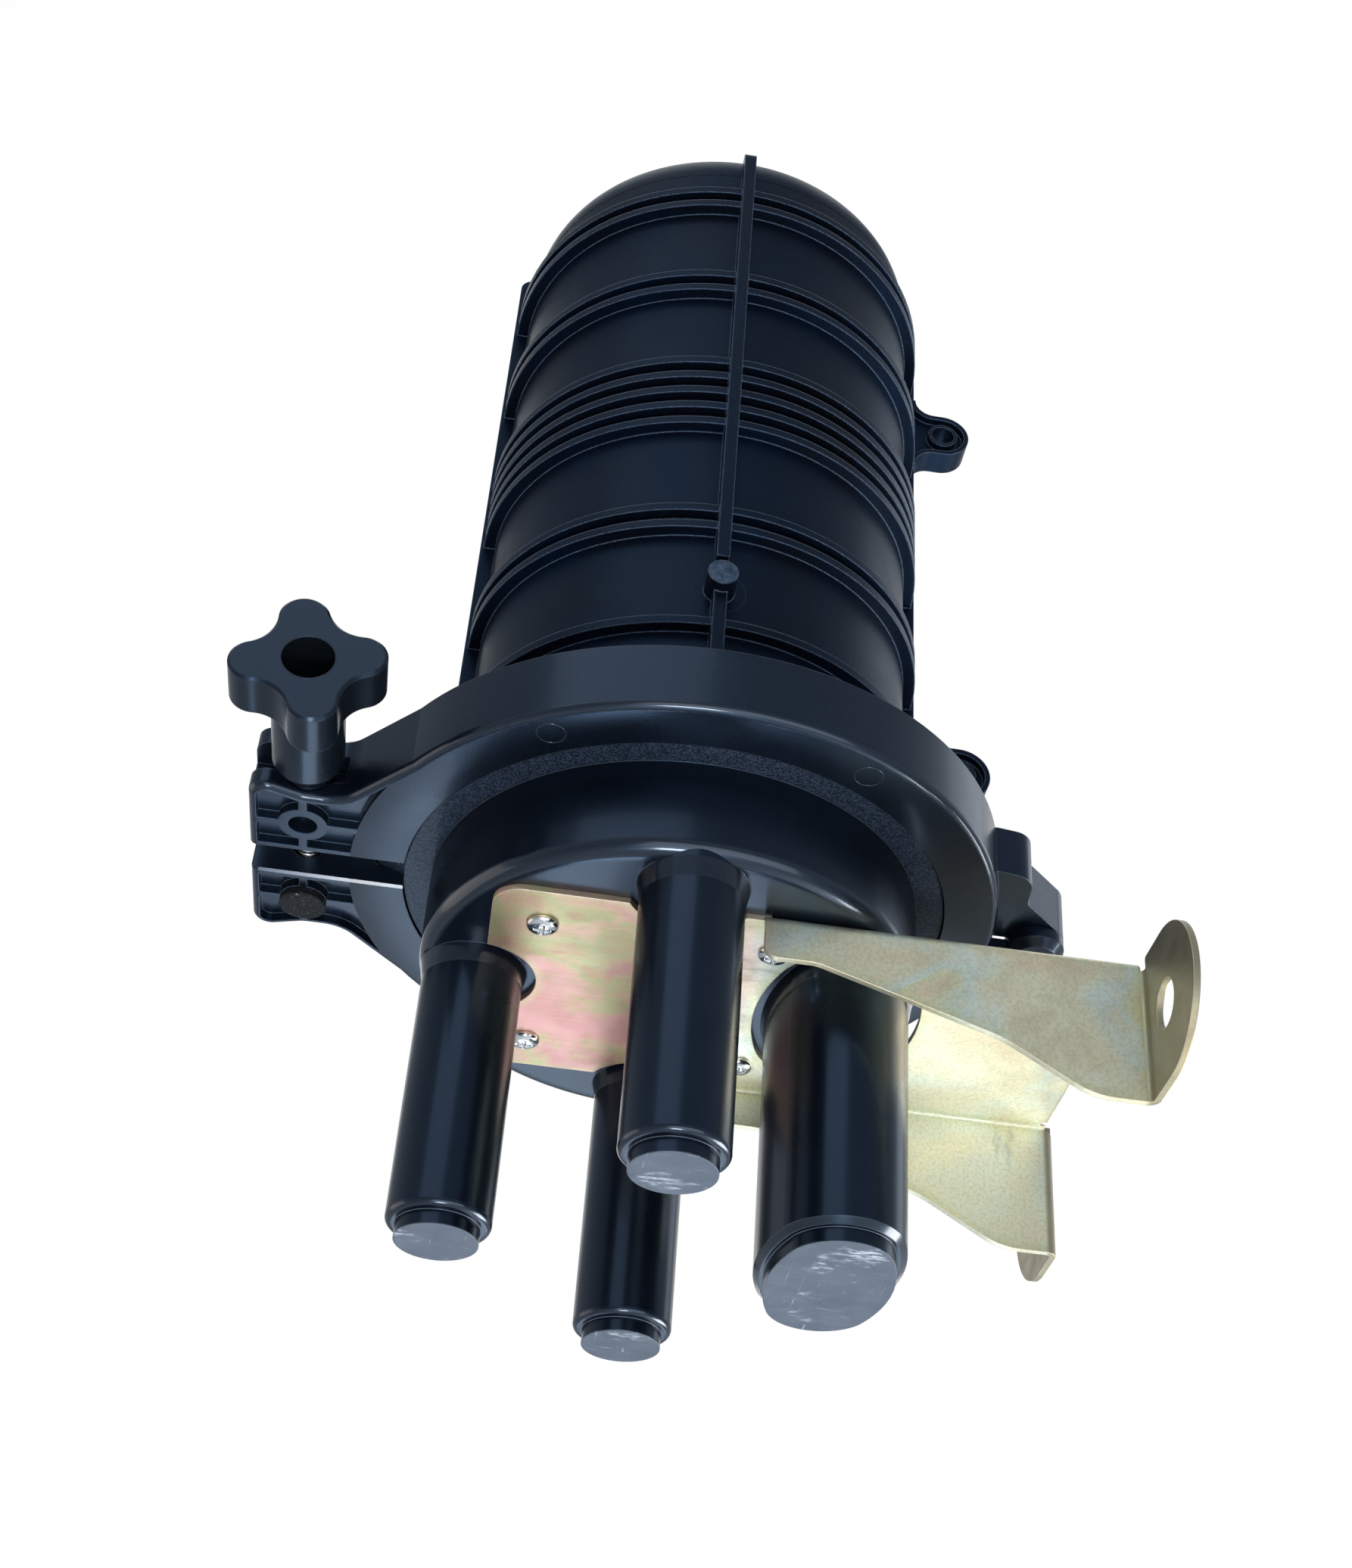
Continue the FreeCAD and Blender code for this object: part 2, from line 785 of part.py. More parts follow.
def dome_outer():
    collar_z = clamp_height - clamp_lip - running_gap
    section = [
        (0, joint_z, 0),
        (flange_r, joint_z, 0),
        (flange_r, collar_z - clamp_groove_slope, 0),
        (neck_r, collar_z, 0),
        (neck_r, flare_start_z, 0),
        (dome_r, flare_end_z, 0),
    ]
    section += eased(dome_r, dome_top_z, dome_top_r, (1, 1), 5)
    section.append((0, dome_top_z, 0))
    return turned(section)


def dome_inner():
    top = dome_top_z - dome_wall
    section = [
        (0, joint_z, 0),
        (dome_mouth_r, joint_z, 0),
        (dome_mouth_r, flare_start_z, 0),
        (dome_inner_r, flare_end_z, 0),
    ]
    section += eased(dome_inner_r, top, dome_top_r - dome_wall, (1, 1), 2)
    section.append((0, top, 0))
    return turned(section)


def dome_rib(z_low):
    root = dome_r - dome_wall / 2
    section = [
        (root, z_low, 0),
        (rib_out_r, z_low, 0),
        (rib_out_r, z_low + rib_thickness, 0),
        (root, z_low + rib_thickness, 0),
    ]
    return turned(section)


def dome_spine():
    """Longitudinal rib on the front, before patterning."""
    corners = [
        (-spine_out_r, flare_start_z, 0),
        (-spine_out_r, spine_top_z, spine_top_r),
        (-dome_inner_r, spine_top_z, 0),
        (-dome_inner_r, flare_start_z, 0),
    ]
    return prism(corners, in_yz(-spine_width / 2), Vector(spine_width, 0, 0))


def lug_profile(hole_x, radius, shrink, y):
    """Round-ended ear in side view, flared at its root and drawn in by shrink."""
    half = radius - shrink
    flare = lug_root_r + shrink
    root_x = dome_r - dome_wall / 2
    face_x = spine_out_r - shrink
    end_x = hole_x + half
    corners = []
    for side in (-1, 1):
        quarter = [
            (root_x, side * (half + flare), 0),
            (face_x, side * (half + flare), 0),
            (face_x, side * half, flare),
            (end_x, side * half, half),
        ]
        corners += quarter if side < 0 else quarter[::-1]
    return Part.Face(rounded_wire(corners, in_xz(y)))


def dome_lug(hole_x, hole_z, radius):
    half = lug_thickness / 2
    body = lug_profile(hole_x, radius, 0, -half).extrude(Vector(0, lug_thickness, 0))
    hollows = []
    for y in (-half, half - lug_pocket_depth):
        hollow = lug_profile(hole_x, radius, lug_wall, y).extrude(Vector(0, lug_pocket_depth, 0))
        boss = rod_y(hole_x, 0, lug_boss_r, y, y + lug_pocket_depth)
        hollows.append(hollow.cut(boss))
    return cut_all(body, hollows).translated(Vector(0, 0, hole_z))


def make_dome():
    solids = [dome_outer()]
    for z_low, count in zip(rib_group_z, rib_counts):
        solids += [dome_rib(z_low + i * rib_pitch) for i in range(count)]
    half = spine_width / 2
    solids.append(dome_spine().cut(box((-half, half), (-spine_out_r, -dome_r), (gate_z, gate_z + gate_relief))))
    for i in (1, 2, 3):
        spine = dome_spine()
        spine.rotate(CENTRE, Z_AXIS, 90 * i)
        solids.append(spine)
    solids.append(rod_y(0, gate_z, gate_r, gate_face_y, -dome_r + dome_wall / 2))
    solids.append(dome_lug(upper_lug_x, upper_lug_z, upper_lug_r))
    solids.append(dome_lug(lower_lug_x, lower_lug_z, lower_lug_r))
    lug_places = [(upper_lug_x, upper_lug_z), (lower_lug_x, lower_lug_z)]
    holes = [rod_y(x, z, lug_hole_r, -lug_thickness, lug_thickness) for x, z in lug_places]
    return cut_all(fuse_all(solids), [dome_inner()] + holes)


# Mounting bracket

def bracket_plate():
    corners = [
        (plate_left_x, -plate_half_width, plate_corner_r),
        (flange_left_x + relief_r, -plate_half_width, 0),
        (flange_left_x + relief_r, plate_half_width, 0),
        (plate_left_x, plate_half_width, plate_corner_r),
    ]
    return prism(corners, in_xy(bracket_low_z), Vector(0, 0, sheet))


def side_profile(y_low, y_high):
    """Shape of a flange seen from the side, as a solid across the bracket."""
    corners = [
        (flange_left_x, base_face_z, 0),
        (flange_left_x, flange_left_z, 4.0),
        (flange_slope_start_x, flange_left_z, 12.0),
        (flange_slope_knee_x, flange_slope_knee_z, 30.0),
        (flange_flat_x, flange_bottom_z, 24.0),
        (bracket_end_x, flange_bottom_z, 0),
        (bracket_end_x, base_face_z, 0),
    ]
    return prism(corners, in_xz(y_low), Vector(0, y_high - y_low, 0))


def bracket_channel():
    """Web with its two flanges, bent about lines along X."""
    w = bracket_half_width
    low = flange_bottom_z - 1
    outer = prism(
        [(-w, low, 0), (-w, base_face_z, bend_r + sheet), (w, base_face_z, bend_r + sheet), (w, low, 0)],
        in_yz(flange_left_x), Vector(web_end_x - flange_left_x, 0, 0),
    )
    w = bracket_half_width - sheet
    inner = prism(
        [(-w, low, 0), (-w, bracket_low_z, bend_r), (w, bracket_low_z, bend_r), (w, low, 0)],
        in_yz(flange_left_x), Vector(web_end_x - flange_left_x, 0, 0),
    )
    profile = side_profile(-bracket_half_width, bracket_half_width)
    return outer.cut(inner).common(profile)


def bracket_tab(side):
    """End of one flange, bent outward into the round-ended wall tab."""
    y_in = side * (bracket_half_width - sheet)
    y_fold = side * (bracket_half_width + bend_r)
    y_out = side * (tab_centre_y + tab_end_r)
    x_bend = web_end_x - relief_r - bend_r
    low = tab_centre_z - tab_end_r
    high = tab_centre_z + tab_end_r
    fold_high = base_face_z - bend_r - sheet
    strip = prism(
        [
            (x_bend, y_in, 0),
            (bracket_end_x, y_in, bend_r + sheet),
            (bracket_end_x, y_out, 0),
            (bracket_end_x - sheet, y_out, 0),
            (bracket_end_x - sheet, y_in + side * sheet, bend_r),
            (x_bend, y_in + side * sheet, 0),
        ],
        in_xy(low), Vector(0, 0, high - low),
    )
    face = prism(
        [
            (y_in, low, 0),
            (y_out, low, tab_end_r),
            (y_out, high, tab_end_r),
            (y_fold, high, 1.0),
            (y_fold, fold_high, 1.0),
            (y_in, fold_high, 0),
        ],
        in_yz(x_bend), Vector(bracket_end_x - x_bend, 0, 0),
    )
    hole = rod_x(side * tab_centre_y, tab_centre_z, tab_hole_r, bracket_end_x - sheet, bracket_end_x)
    return strip.common(face).cut(hole)


def make_mount_bracket():
    solid = fuse_all([bracket_plate(), bracket_channel(), bracket_tab(-1), bracket_tab(1)])
    cutout_r = port_root_r + port_cutout_gap
    cuts = [rod_z(x, y, cutout_r, bracket_low_z, base_face_z) for x, y in round_port_places()]
    oval_grow = port_root_r - port_neck_r + port_cutout_gap
    cuts.append(oval_solid(oval_grow, bracket_low_z, oval_grow, base_face_z))
    for x, y in screw_places():
        cuts.append(rod_z(x, y, screw_r + screw_hole_play, bracket_low_z, base_face_z))
    for side in (-1, 1):
        y = side * (bracket_half_width - sheet - bend_r)
        cuts.append(rod_z(web_end_x, y, relief_r, bracket_low_z, base_face_z))
    return cut_all(solid, cuts)


def pan_screw(x, y):
    low = bracket_low_z - screw_head_height
    section = [
        (0, low, 0),
        (screw_head_r, low, 0),
        (screw_head_r, bracket_low_z, 0),
        (screw_r, bracket_low_z, 0),
        (screw_r, bracket_low_z + screw_length, 0),
        (0, bracket_low_z + screw_length, 0),
    ]
    half = recess_span / 2
    width = recess_width / 2
    recess = box((-half, half), (-width, width), (low, low + recess_depth))
    recess = recess.fuse(box((-width, width), (-half, half), (low, low + recess_depth)))
    return turned(section).cut(recess).translated(Vector(x, y, 0))


def make_bracket_screws():
    return Part.makeCompound([pan_screw(x, y) for x, y in screw_places()])


# Tray frame

def make_tray_frame():
    foot = box(
        (frame_foot_left_x, frame_foot_right_x), (-frame_foot_half_y, frame_foot_half_y), (foot_low_z, foot_high_z)
    )
    back = frame_upright_y + frame_sheet
    upright = box((-frame_half_width, frame_half_width), (frame_upright_y, back), (foot_low_z, frame_top_z))
    cheeks = []
    for x in (-frame_half_width, frame_half_width - frame_sheet):
        y_low = frame_upright_y - frame_flange
        cheeks.append(box((x, x + frame_sheet), (y_low, back), (foot_low_z, tray_low_z - holder_drop)))
    slots = []
    for offset in spaced(4, frame_slot_pitch):
        z = (tray_low_z + frame_top_z) / 2 + offset
        low = z - frame_slot_height / 2
        slots.append(box((-frame_slot_width, frame_slot_width), (frame_upright_y, back), (low, low + frame_slot_height)))
    holes = [rod_z(x, y, frame_screw_r + screw_hole_play, foot_low_z, foot_high_z) for x, y in screw_places()]
    for side in (-1, 1):
        holes.append(rod_z(anchor_x, side * anchor_y(), anchor_screw_r, foot_low_z, foot_high_z))
    holes += [rod_y(0, z, basket_screw_r, frame_upright_y, back) for z in basket_screw_heights()]
    return cut_all(fuse_all([foot, upright] + cheeks), slots + holes)


def make_frame_screws():
    screw = hex_screw(frame_screw_r, frame_screw_length, frame_screw_across, frame_screw_head_height)
    return Part.makeCompound([screw.translated(Vector(x, y, foot_high_z)) for x, y in screw_places()])


# Splice trays, stacked toward the front from the frame

def tray_back_y(index):
    return frame_upright_y - tray_back_gap - index * tray_pitch


def tray_outline(shrink):
    low = tray_low_z + shrink
    high = tray_low_z + tray_length - shrink
    return clipped_rectangle(tray_half_width - shrink, low, high, tray_corner - shrink * (2 - sqrt(2)))


def tray_comb(back):
    """Row of ribs that hold the splice sleeves."""
    middle_z = tray_low_z + tray_length / 2
    ribs = []
    for offset in spaced(comb_count, comb_pitch):
        x = (-comb_rib / 2 + offset, comb_rib / 2 + offset)
        ribs.append(box(x, (back - tray_wall - comb_height, back - tray_wall),
                        (middle_z - comb_length / 2, middle_z + comb_length / 2)))
    return ribs


def tray_guides(back):
    """Two islands round which the fibre keeps its bend radius."""
    middle_z = tray_low_z + tray_length / 2
    reach = tray_length / 2 - guide_half_length - 12
    guides = []
    for side in (-1, 1):
        z = middle_z + side * reach
        outline = clipped_rectangle(guide_half_width, z - guide_half_length, z + guide_half_length, guide_corner)
        guides.append(prism(outline, in_xz(back - tray_wall), Vector(0, -comb_height, 0)))
    return guides


def make_splice_tray(index):
    back = tray_back_y(index)
    depth = Vector(0, -tray_depth, 0)
    shell = prism(tray_outline(0), in_xz(back), depth)
    hollow = prism(tray_outline(tray_wall), in_xz(back - tray_wall), depth)
    y = back - tray_depth / 2
    lugs = []
    for side in (-1, 1):
        x = sorted((side * (tray_hinge_lug_x - tray_hinge_lug_width), side * tray_hinge_lug_x))
        lugs.append(box(x, (y - tray_hinge_pin_r, y + tray_hinge_pin_r), (tray_hinge_z, tray_low_z + tray_wall)))
    pin_end = holder_ear_x + holder_ear_width
    pin = rod_x(y, tray_hinge_z, tray_hinge_pin_r, -pin_end, pin_end)
    return fuse_all([shell.cut(hollow)] + tray_comb(back) + tray_guides(back) + lugs + [pin])


def make_tray_cover():
    """Clear lid over the front tray, with a rim that drops between its walls."""
    front = tray_back_y(tray_count - 1) - tray_depth
    lid = prism(tray_outline(0), in_xz(front), Vector(0, -cover_thickness, 0))
    return lid


def make_tray_holder():
    """Shelf on the frame, with a notched cheek each side for the trays' hinge pins."""
    front = tray_back_y(tray_count - 1) - tray_depth
    shelf_z = tray_hinge_z - holder_drop
    shelf = box((-holder_ear_x - holder_ear_width, holder_ear_x + holder_ear_width),
                (front, frame_upright_y), (shelf_z, shelf_z + holder_plate))
    web = prism(
        [
            (frame_upright_y, shelf_z, 0),
            (front + tray_pitch, shelf_z, 0),
            (frame_upright_y, foot_high_z, 0),
        ],
        in_yz(-holder_plate / 2), Vector(holder_plate, 0, 0),
    )
    parts = [shelf, web]
    z_high = tray_hinge_z + tray_hinge_pin_r + 2.0
    for side in (-1, 1):
        x = sorted((side * holder_ear_x, side * (holder_ear_x + holder_ear_width)))
        parts.append(box(x, (front, frame_upright_y), (shelf_z + holder_plate, z_high)))
    notches = []
    reach = holder_ear_x + holder_ear_width
    half = tray_hinge_pin_r + tray_hinge_play
    for index in range(tray_count):
        y = tray_back_y(index) - tray_depth / 2
        notches.append(box((-reach, reach), (y - half, y + half), (tray_hinge_z - half, z_high)))
    return cut_all(fuse_all(parts), notches)


# Basket for loose tubes

def basket_screw_heights():
    return [basket_screw_z + offset * basket_screw_span for offset in range(basket_screw_rows)]


def basket_outline(shrink):
    low = basket_low_z + shrink
    high = basket_high_z - shrink
    return clipped_rectangle(basket_half_width - shrink, low, high, basket_corner - shrink * (2 - sqrt(2)))


def make_storage_basket():
    frame_back = frame_upright_y + frame_sheet
    near = frame_back + basket_gap
    depth = basket_back_y - near
    shell = prism(basket_outline(0), in_xz(near), Vector(0, depth, 0))
    hollow = prism(basket_outline(basket_wall), in_xz(near + basket_wall), Vector(0, depth, 0))
    lips = prism(basket_outline(0), in_xz(basket_back_y - basket_wall), Vector(0, basket_wall, 0))
    lips = lips.cut(prism(basket_outline(basket_lip), in_xz(near), Vector(0, depth, 0)))
    bosses = [rod_y(0, z, basket_boss_r, frame_back, near) for z in basket_screw_heights()]
    holes = [rod_y(0, z, basket_screw_r, frame_back, near + basket_wall) for z in basket_screw_heights()]
    return cut_all(fuse_all([shell.cut(hollow), lips] + bosses), holes)


def make_basket_screws():
    inner = frame_upright_y + frame_sheet + basket_gap + basket_wall
    screw = hex_screw(basket_screw_r, inner - frame_upright_y, frame_screw_across, frame_screw_head_height)
    screw.rotate(CENTRE, X_AXIS, -90)
    return Part.makeCompound([screw.translated(Vector(0, inner, z)) for z in basket_screw_heights()])


def strap_outline(grow):
    w = tray_half_width + strap_play + grow
    front = tray_back_y(tray_count - 1) - tray_depth - cover_thickness - strap_play - grow
    back = frame_upright_y + frame_sheet + strap_play + grow
    return [(-w, front, 0), (w, front, 0), (w, back, 0), (-w, back, 0)]


def make_tray_strap():
    low = strap_z - strap_width / 2
    outer = prism(strap_outline(strap_thickness), in_xy(low), Vector(0, 0, strap_width))
    inner = prism(strap_outline(0), in_xy(low), Vector(0, 0, strap_width))
    return outer.cut(inner)


# Strength-member anchors

def anchor_y():
    return frame_foot_half_y - anchor_inset - anchor_depth / 2


def make_strength_anchor(side):
    y = side * anchor_y()
    block = box((anchor_x - anchor_width / 2, anchor_x + anchor_width / 2),
                (y - anchor_depth / 2, y + anchor_depth / 2), (foot_high_z, foot_high_z + anchor_height))
    grooves = []
    for offset in (-1, 1):
        x = anchor_x + offset * (anchor_screw_across / 2 + anchor_groove_r) * 1.1
        grooves.append(rod_y(x, foot_high_z + anchor_height, anchor_groove_r, y - anchor_depth / 2, y + anchor_depth / 2))
    grooves.append(rod_z(anchor_x, y, anchor_screw_r, foot_high_z, foot_high_z + anchor_height))
    return cut_all(block, grooves)


def make_anchor_screws():
    top = foot_high_z + anchor_height
    screw = hex_screw(anchor_screw_r, top - foot_low_z, anchor_screw_across, anchor_head_height)
    return Part.makeCompound([screw.translated(Vector(anchor_x, side * anchor_y(), top)) for side in (-1, 1)])


def make_all():
    shapes = {
        "dome": make_dome(),
        "base": make_base(),
        "seal_ring": seal_section_ring(),
        "clamp_front": make_clamp_front(),
        "clamp_rear": make_clamp_rear(),
        "hinge_pin": make_hinge_pin(),
        "knob": make_knob(),
        "knob_bolt": make_knob_bolt(),
        "knob_washer": make_knob_washer(),
        "barrel_nut": make_barrel_nut(),
        "mount_bracket": make_mount_bracket(),
        "bracket_screws": make_bracket_screws(),
        "tray_frame": make_tray_frame(),
        "frame_screws": make_frame_screws(),
        "tray_holder": make_tray_holder(),
        "tray_cover": make_tray_cover(),
        "tray_strap": make_tray_strap(),
        "storage_basket": make_storage_basket(),
        "basket_screws": make_basket_screws(),
        "strength_anchor_front": make_strength_anchor(-1),
        "strength_anchor_rear": make_strength_anchor(1),
        "anchor_screws": make_anchor_screws(),
    }
    for index in range(tray_count):
        shapes["splice_tray_%d" % (index + 1)] = make_splice_tray(index)
    return shapes


os.makedirs("parts", exist_ok=True)
for name, shape in make_all().items():
    shape.translated(-mount_origin).exportStep("parts/%s.step" % name)
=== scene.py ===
import math
import bpy
import bmesh
from mathutils import Matrix, Vector, noise


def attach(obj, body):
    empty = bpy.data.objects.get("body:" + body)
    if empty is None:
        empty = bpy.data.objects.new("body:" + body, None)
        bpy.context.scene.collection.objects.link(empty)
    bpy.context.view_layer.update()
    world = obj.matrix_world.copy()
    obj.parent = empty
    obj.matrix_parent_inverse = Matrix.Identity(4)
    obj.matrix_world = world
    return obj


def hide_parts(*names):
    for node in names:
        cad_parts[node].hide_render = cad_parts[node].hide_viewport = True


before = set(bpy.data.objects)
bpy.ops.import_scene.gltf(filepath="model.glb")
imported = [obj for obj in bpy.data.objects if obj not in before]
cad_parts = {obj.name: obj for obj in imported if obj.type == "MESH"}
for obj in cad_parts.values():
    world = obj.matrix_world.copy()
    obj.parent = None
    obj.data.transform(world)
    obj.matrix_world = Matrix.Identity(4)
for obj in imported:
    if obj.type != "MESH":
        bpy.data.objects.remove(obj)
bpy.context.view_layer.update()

# Places and sizes in the row's frame, in metres
AXIS_X = -0.137                     # the closure's axis stands at (AXIS_X, 0)
CLAMP_Z = 0.0544                    # underside of the clamp
BAND_IN_R, BAND_OUT_R = 0.0895, 0.1025  # the clamp's flat underside
BASE_R = 0.0768
BASE_FACE_Z = CLAMP_Z - 0.031
BASE_ROUNDING = 0.005
SEAT_Z = BASE_FACE_Z - 0.002        # low face of the bracket's plate
DOME_R = 0.0723
DOME_TOP_Z = CLAMP_Z + 0.2945
DOME_ROUNDING = 0.020
DOME_FRONT_R = 0.0722               # dome wall behind the gate stub
GATE_HEIGHT = 0.0717                # gate stub, above the clamp's underside
GATE_END_Y = -0.0814
PORT_CIRCLE_R = 0.0596
PORT_SHOULDER_Z = CLAMP_Z - 0.1174
PORT_END_Z = CLAMP_Z - 0.122
PORT_R = 0.0153
PORT_ROUNDING = 0.0018
STUD_X = AXIS_X - 0.1168            # axis of the knob and its bolt, along Y
STUD_Z = CLAMP_Z + 0.0117
KNOB_FACE_Y = -0.0868
WELL_LIP_R = 0.00785
NUT_Y = 0.0206
NUT_LOW_Z = CLAMP_Z - 0.0024
NUT_HIGH_Z = CLAMP_Z + 0.0237
WITNESS_X, WITNESS_Y = 0.046, 0.0819
SCREW_LEFT_X, SCREW_RIGHT_X, SCREW_Y = -0.041, 0.028, 0.034
SCREW_HEAD_R = 0.0048
TAB_FACE_X = -0.0024                # the bracket's tabs lie beyond this
PROUD = 0.00004                     # a skin's lift above the solid that it covers

# The photograph, in pixels, and the camera solved from it
PHOTO_WIDTH, PHOTO_HEIGHT = 1786, 2072
FOCAL_LENGTH = 2844.5
OPTICAL_CENTRE = (908.3, 1141.2)
SENSOR = 36                         # in millimetres, along the photograph's height

# Shading
MIX_A, MIX_B, MIX_RESULT = 6, 7, 2  # colour sockets of the Mix node
PLASTIC_IOR = 1.49
BEVEL_SAMPLES = 6
BAND_FALL = 32.0                    # fall of the clamp's band, in depths of its grain


# Node helpers

def node_tree(name):
    material = bpy.data.materials.new(name)
    material.use_nodes = True
    tree = material.node_tree
    shader = tree.nodes["Principled BSDF"]
    return material, tree, shader


def add(tree, kind, **settings):
    node = tree.nodes.new(kind)
    for key, value in settings.items():
        setattr(node, key, value)
    return node


def object_point(tree):
    return add(tree, "ShaderNodeTexCoord").outputs["Object"]


def mapped(tree, vector, scale=(1, 1, 1), turn=(0, 0, 0), shift=(0, 0, 0)):
    node = add(tree, "ShaderNodeMapping")
    node.inputs["Scale"].default_value = scale
    node.inputs["Rotation"].default_value = turn
    node.inputs["Location"].default_value = shift
    tree.links.new(vector, node.inputs["Vector"])
    return node.outputs["Vector"]


def noise_value(tree, vector, scale, detail=3.0, rough=0.55, distortion=0.0):
    node = add(tree, "ShaderNodeTexNoise")
    node.inputs["Scale"].default_value = scale
    node.inputs["Detail"].default_value = detail
    node.inputs["Roughness"].default_value = rough
    node.inputs["Distortion"].default_value = distortion
    tree.links.new(vector, node.inputs["Vector"])
    return node.outputs["Fac"]


def math_node(tree, operation, first, second=None, third=None):
    node = add(tree, "ShaderNodeMath", operation=operation)
    for slot, value in zip(node.inputs, (first, second, third)):
        if value is None:
            continue
        if isinstance(value, (int, float)):
            slot.default_value = value
        else:
            tree.links.new(value, slot)
    return node.outputs[0]


def times(tree, first, second):
    return math_node(tree, "MULTIPLY", first, second)


def remap(tree, value, low, high, out_low=0.0, out_high=1.0):
    node = add(tree, "ShaderNodeMapRange", interpolation_type="SMOOTHSTEP")
    node.inputs["From Min"].default_value = low
    node.inputs["From Max"].default_value = high
    node.inputs["To Min"].default_value = out_low
    node.inputs["To Max"].default_value = out_high
    tree.links.new(value, node.inputs["Value"])
    return node.outputs[0]


def ramp(tree, value, stops):
    node = add(tree, "ShaderNodeValToRGB")
    elements = node.color_ramp.elements
    while len(elements) < len(stops):
        elements.new(0.5)
    for element, (place, colour) in zip(elements, stops):
        element.position = place
        element.color = (*colour, 1)
    tree.links.new(value, node.inputs["Fac"])
    return node.outputs["Color"]


def mix(tree, factor, first, second):
    node = add(tree, "ShaderNodeMix", data_type="RGBA")
    slots = (node.inputs["Factor"], node.inputs[MIX_A], node.inputs[MIX_B])
    for slot, value in zip(slots, (factor, first, second)):
        if isinstance(value, (int, float)):
            slot.default_value = value
        elif isinstance(value, tuple):
            slot.default_value = (*value, 1)
        else:
            tree.links.new(value, slot)
    return node.outputs[MIX_RESULT]


def bevelled_normal(tree, radius):
    node = add(tree, "ShaderNodeBevel", samples=BEVEL_SAMPLES)
    node.inputs["Radius"].default_value = radius
    return node.outputs[0]


def edge_mask(tree, radius, low=0.02, high=0.25):
    """1 on sharp edges, 0 on flats, from a bevelled normal."""
    geometry = add(tree, "ShaderNodeNewGeometry")
    dot = add(tree, "ShaderNodeVectorMath", operation="DOT_PRODUCT")
    tree.links.new(bevelled_normal(tree, radius), dot.inputs[0])
    tree.links.new(geometry.outputs["Normal"], dot.inputs[1])
    bend = math_node(tree, "SUBTRACT", 1.0, dot.outputs["Value"])
    return remap(tree, bend, low, high)


def bump(tree, shader, height, strength, distance, bevel_radius=None):
    node = add(tree, "ShaderNodeBump")
    node.inputs["Strength"].default_value = strength
    node.inputs["Distance"].default_value = distance
    tree.links.new(height, node.inputs["Height"])
    if bevel_radius:
        tree.links.new(bevelled_normal(tree, bevel_radius), node.inputs["Normal"])
    tree.links.new(node.outputs["Normal"], shader.inputs["Normal"])


def axis_distance(tree, point, x, y):
    """Distance from a line along Z."""
    moved = mapped(tree, point, scale=(1, 1, 0), shift=(-x, -y, 0))
    node = add(tree, "ShaderNodeVectorMath", operation="LENGTH")
    tree.links.new(moved, node.inputs[0])
    return node.outputs["Value"]


def part_of(tree, vector, axis):
    node = add(tree, "ShaderNodeSeparateXYZ")
    tree.links.new(vector, node.inputs[0])
    return node.outputs[axis]


def cool_gloss(shader, level, skin=0.0, tint=(0.34, 0.60, 1.0, 1), low_edges=0.0):
    """Weak, slightly blue reflection; low_edges adds polish to the roundings on the low side."""
    shader.inputs["IOR"].default_value = PLASTIC_IOR
    shader.inputs["Specular IOR Level"].default_value = level
    shader.inputs["Specular Tint"].default_value = tint
    shader.inputs["Coat Weight"].default_value = skin
    shader.inputs["Coat Roughness"].default_value = 0.13
    if low_edges:
        tree = shader.id_data
        facing = part_of(tree, add(tree, "ShaderNodeNewGeometry").outputs["True Normal"], "Z")
        off_down = remap(tree, facing, -0.985, -0.93)
        off_level = remap(tree, facing, -0.05, -0.22)
        polish = math_node(tree, "MULTIPLY_ADD", times(tree, off_down, off_level), low_edges, skin)
        tree.links.new(polish, shader.inputs["Coat Weight"])


def moulded_plastic(name, dark, light, rough, grain_scale, grain_depth,
                    edge_highlight, edge_radius, swell=None):
    """Moulding with grain, faint mottling and a painted highlight on its edges; swell(tree, point)
    adds slow relief.
    """
    material, tree, shader = node_tree(name)
    point = object_point(tree)
    blotch = noise_value(tree, point, 22, 4, 0.6, 0.4)
    fine = noise_value(tree, point, grain_scale, 2, 0.5)
    colour = ramp(tree, blotch, [(0.3, dark), (0.72, light)])
    pits = remap(tree, fine, 0.50, 0.70, 0.0, 0.35)
    pit_colour = tuple(min(0.9, 2.6 * c) for c in light)
    colour = mix(tree, pits, colour, pit_colour)
    # Painted highlight: a paler colour laid along the sharp edges, broken up by the fine grain
    edge = edge_mask(tree, edge_radius)
    mottle = remap(tree, fine, 0.35, 0.6, 0.45, 1.0)
    colour = mix(tree, times(tree, edge, mottle), colour, edge_highlight)
    tree.links.new(colour, shader.inputs["Base Color"])
    tree.links.new(remap(tree, blotch, 0.3, 0.7, *rough), shader.inputs["Roughness"])
    relief = math_node(tree, "ADD", fine, swell(tree, point)) if swell else fine
    bump(tree, shader, relief, 0.35, grain_depth, edge_radius)
    return material, tree, shader


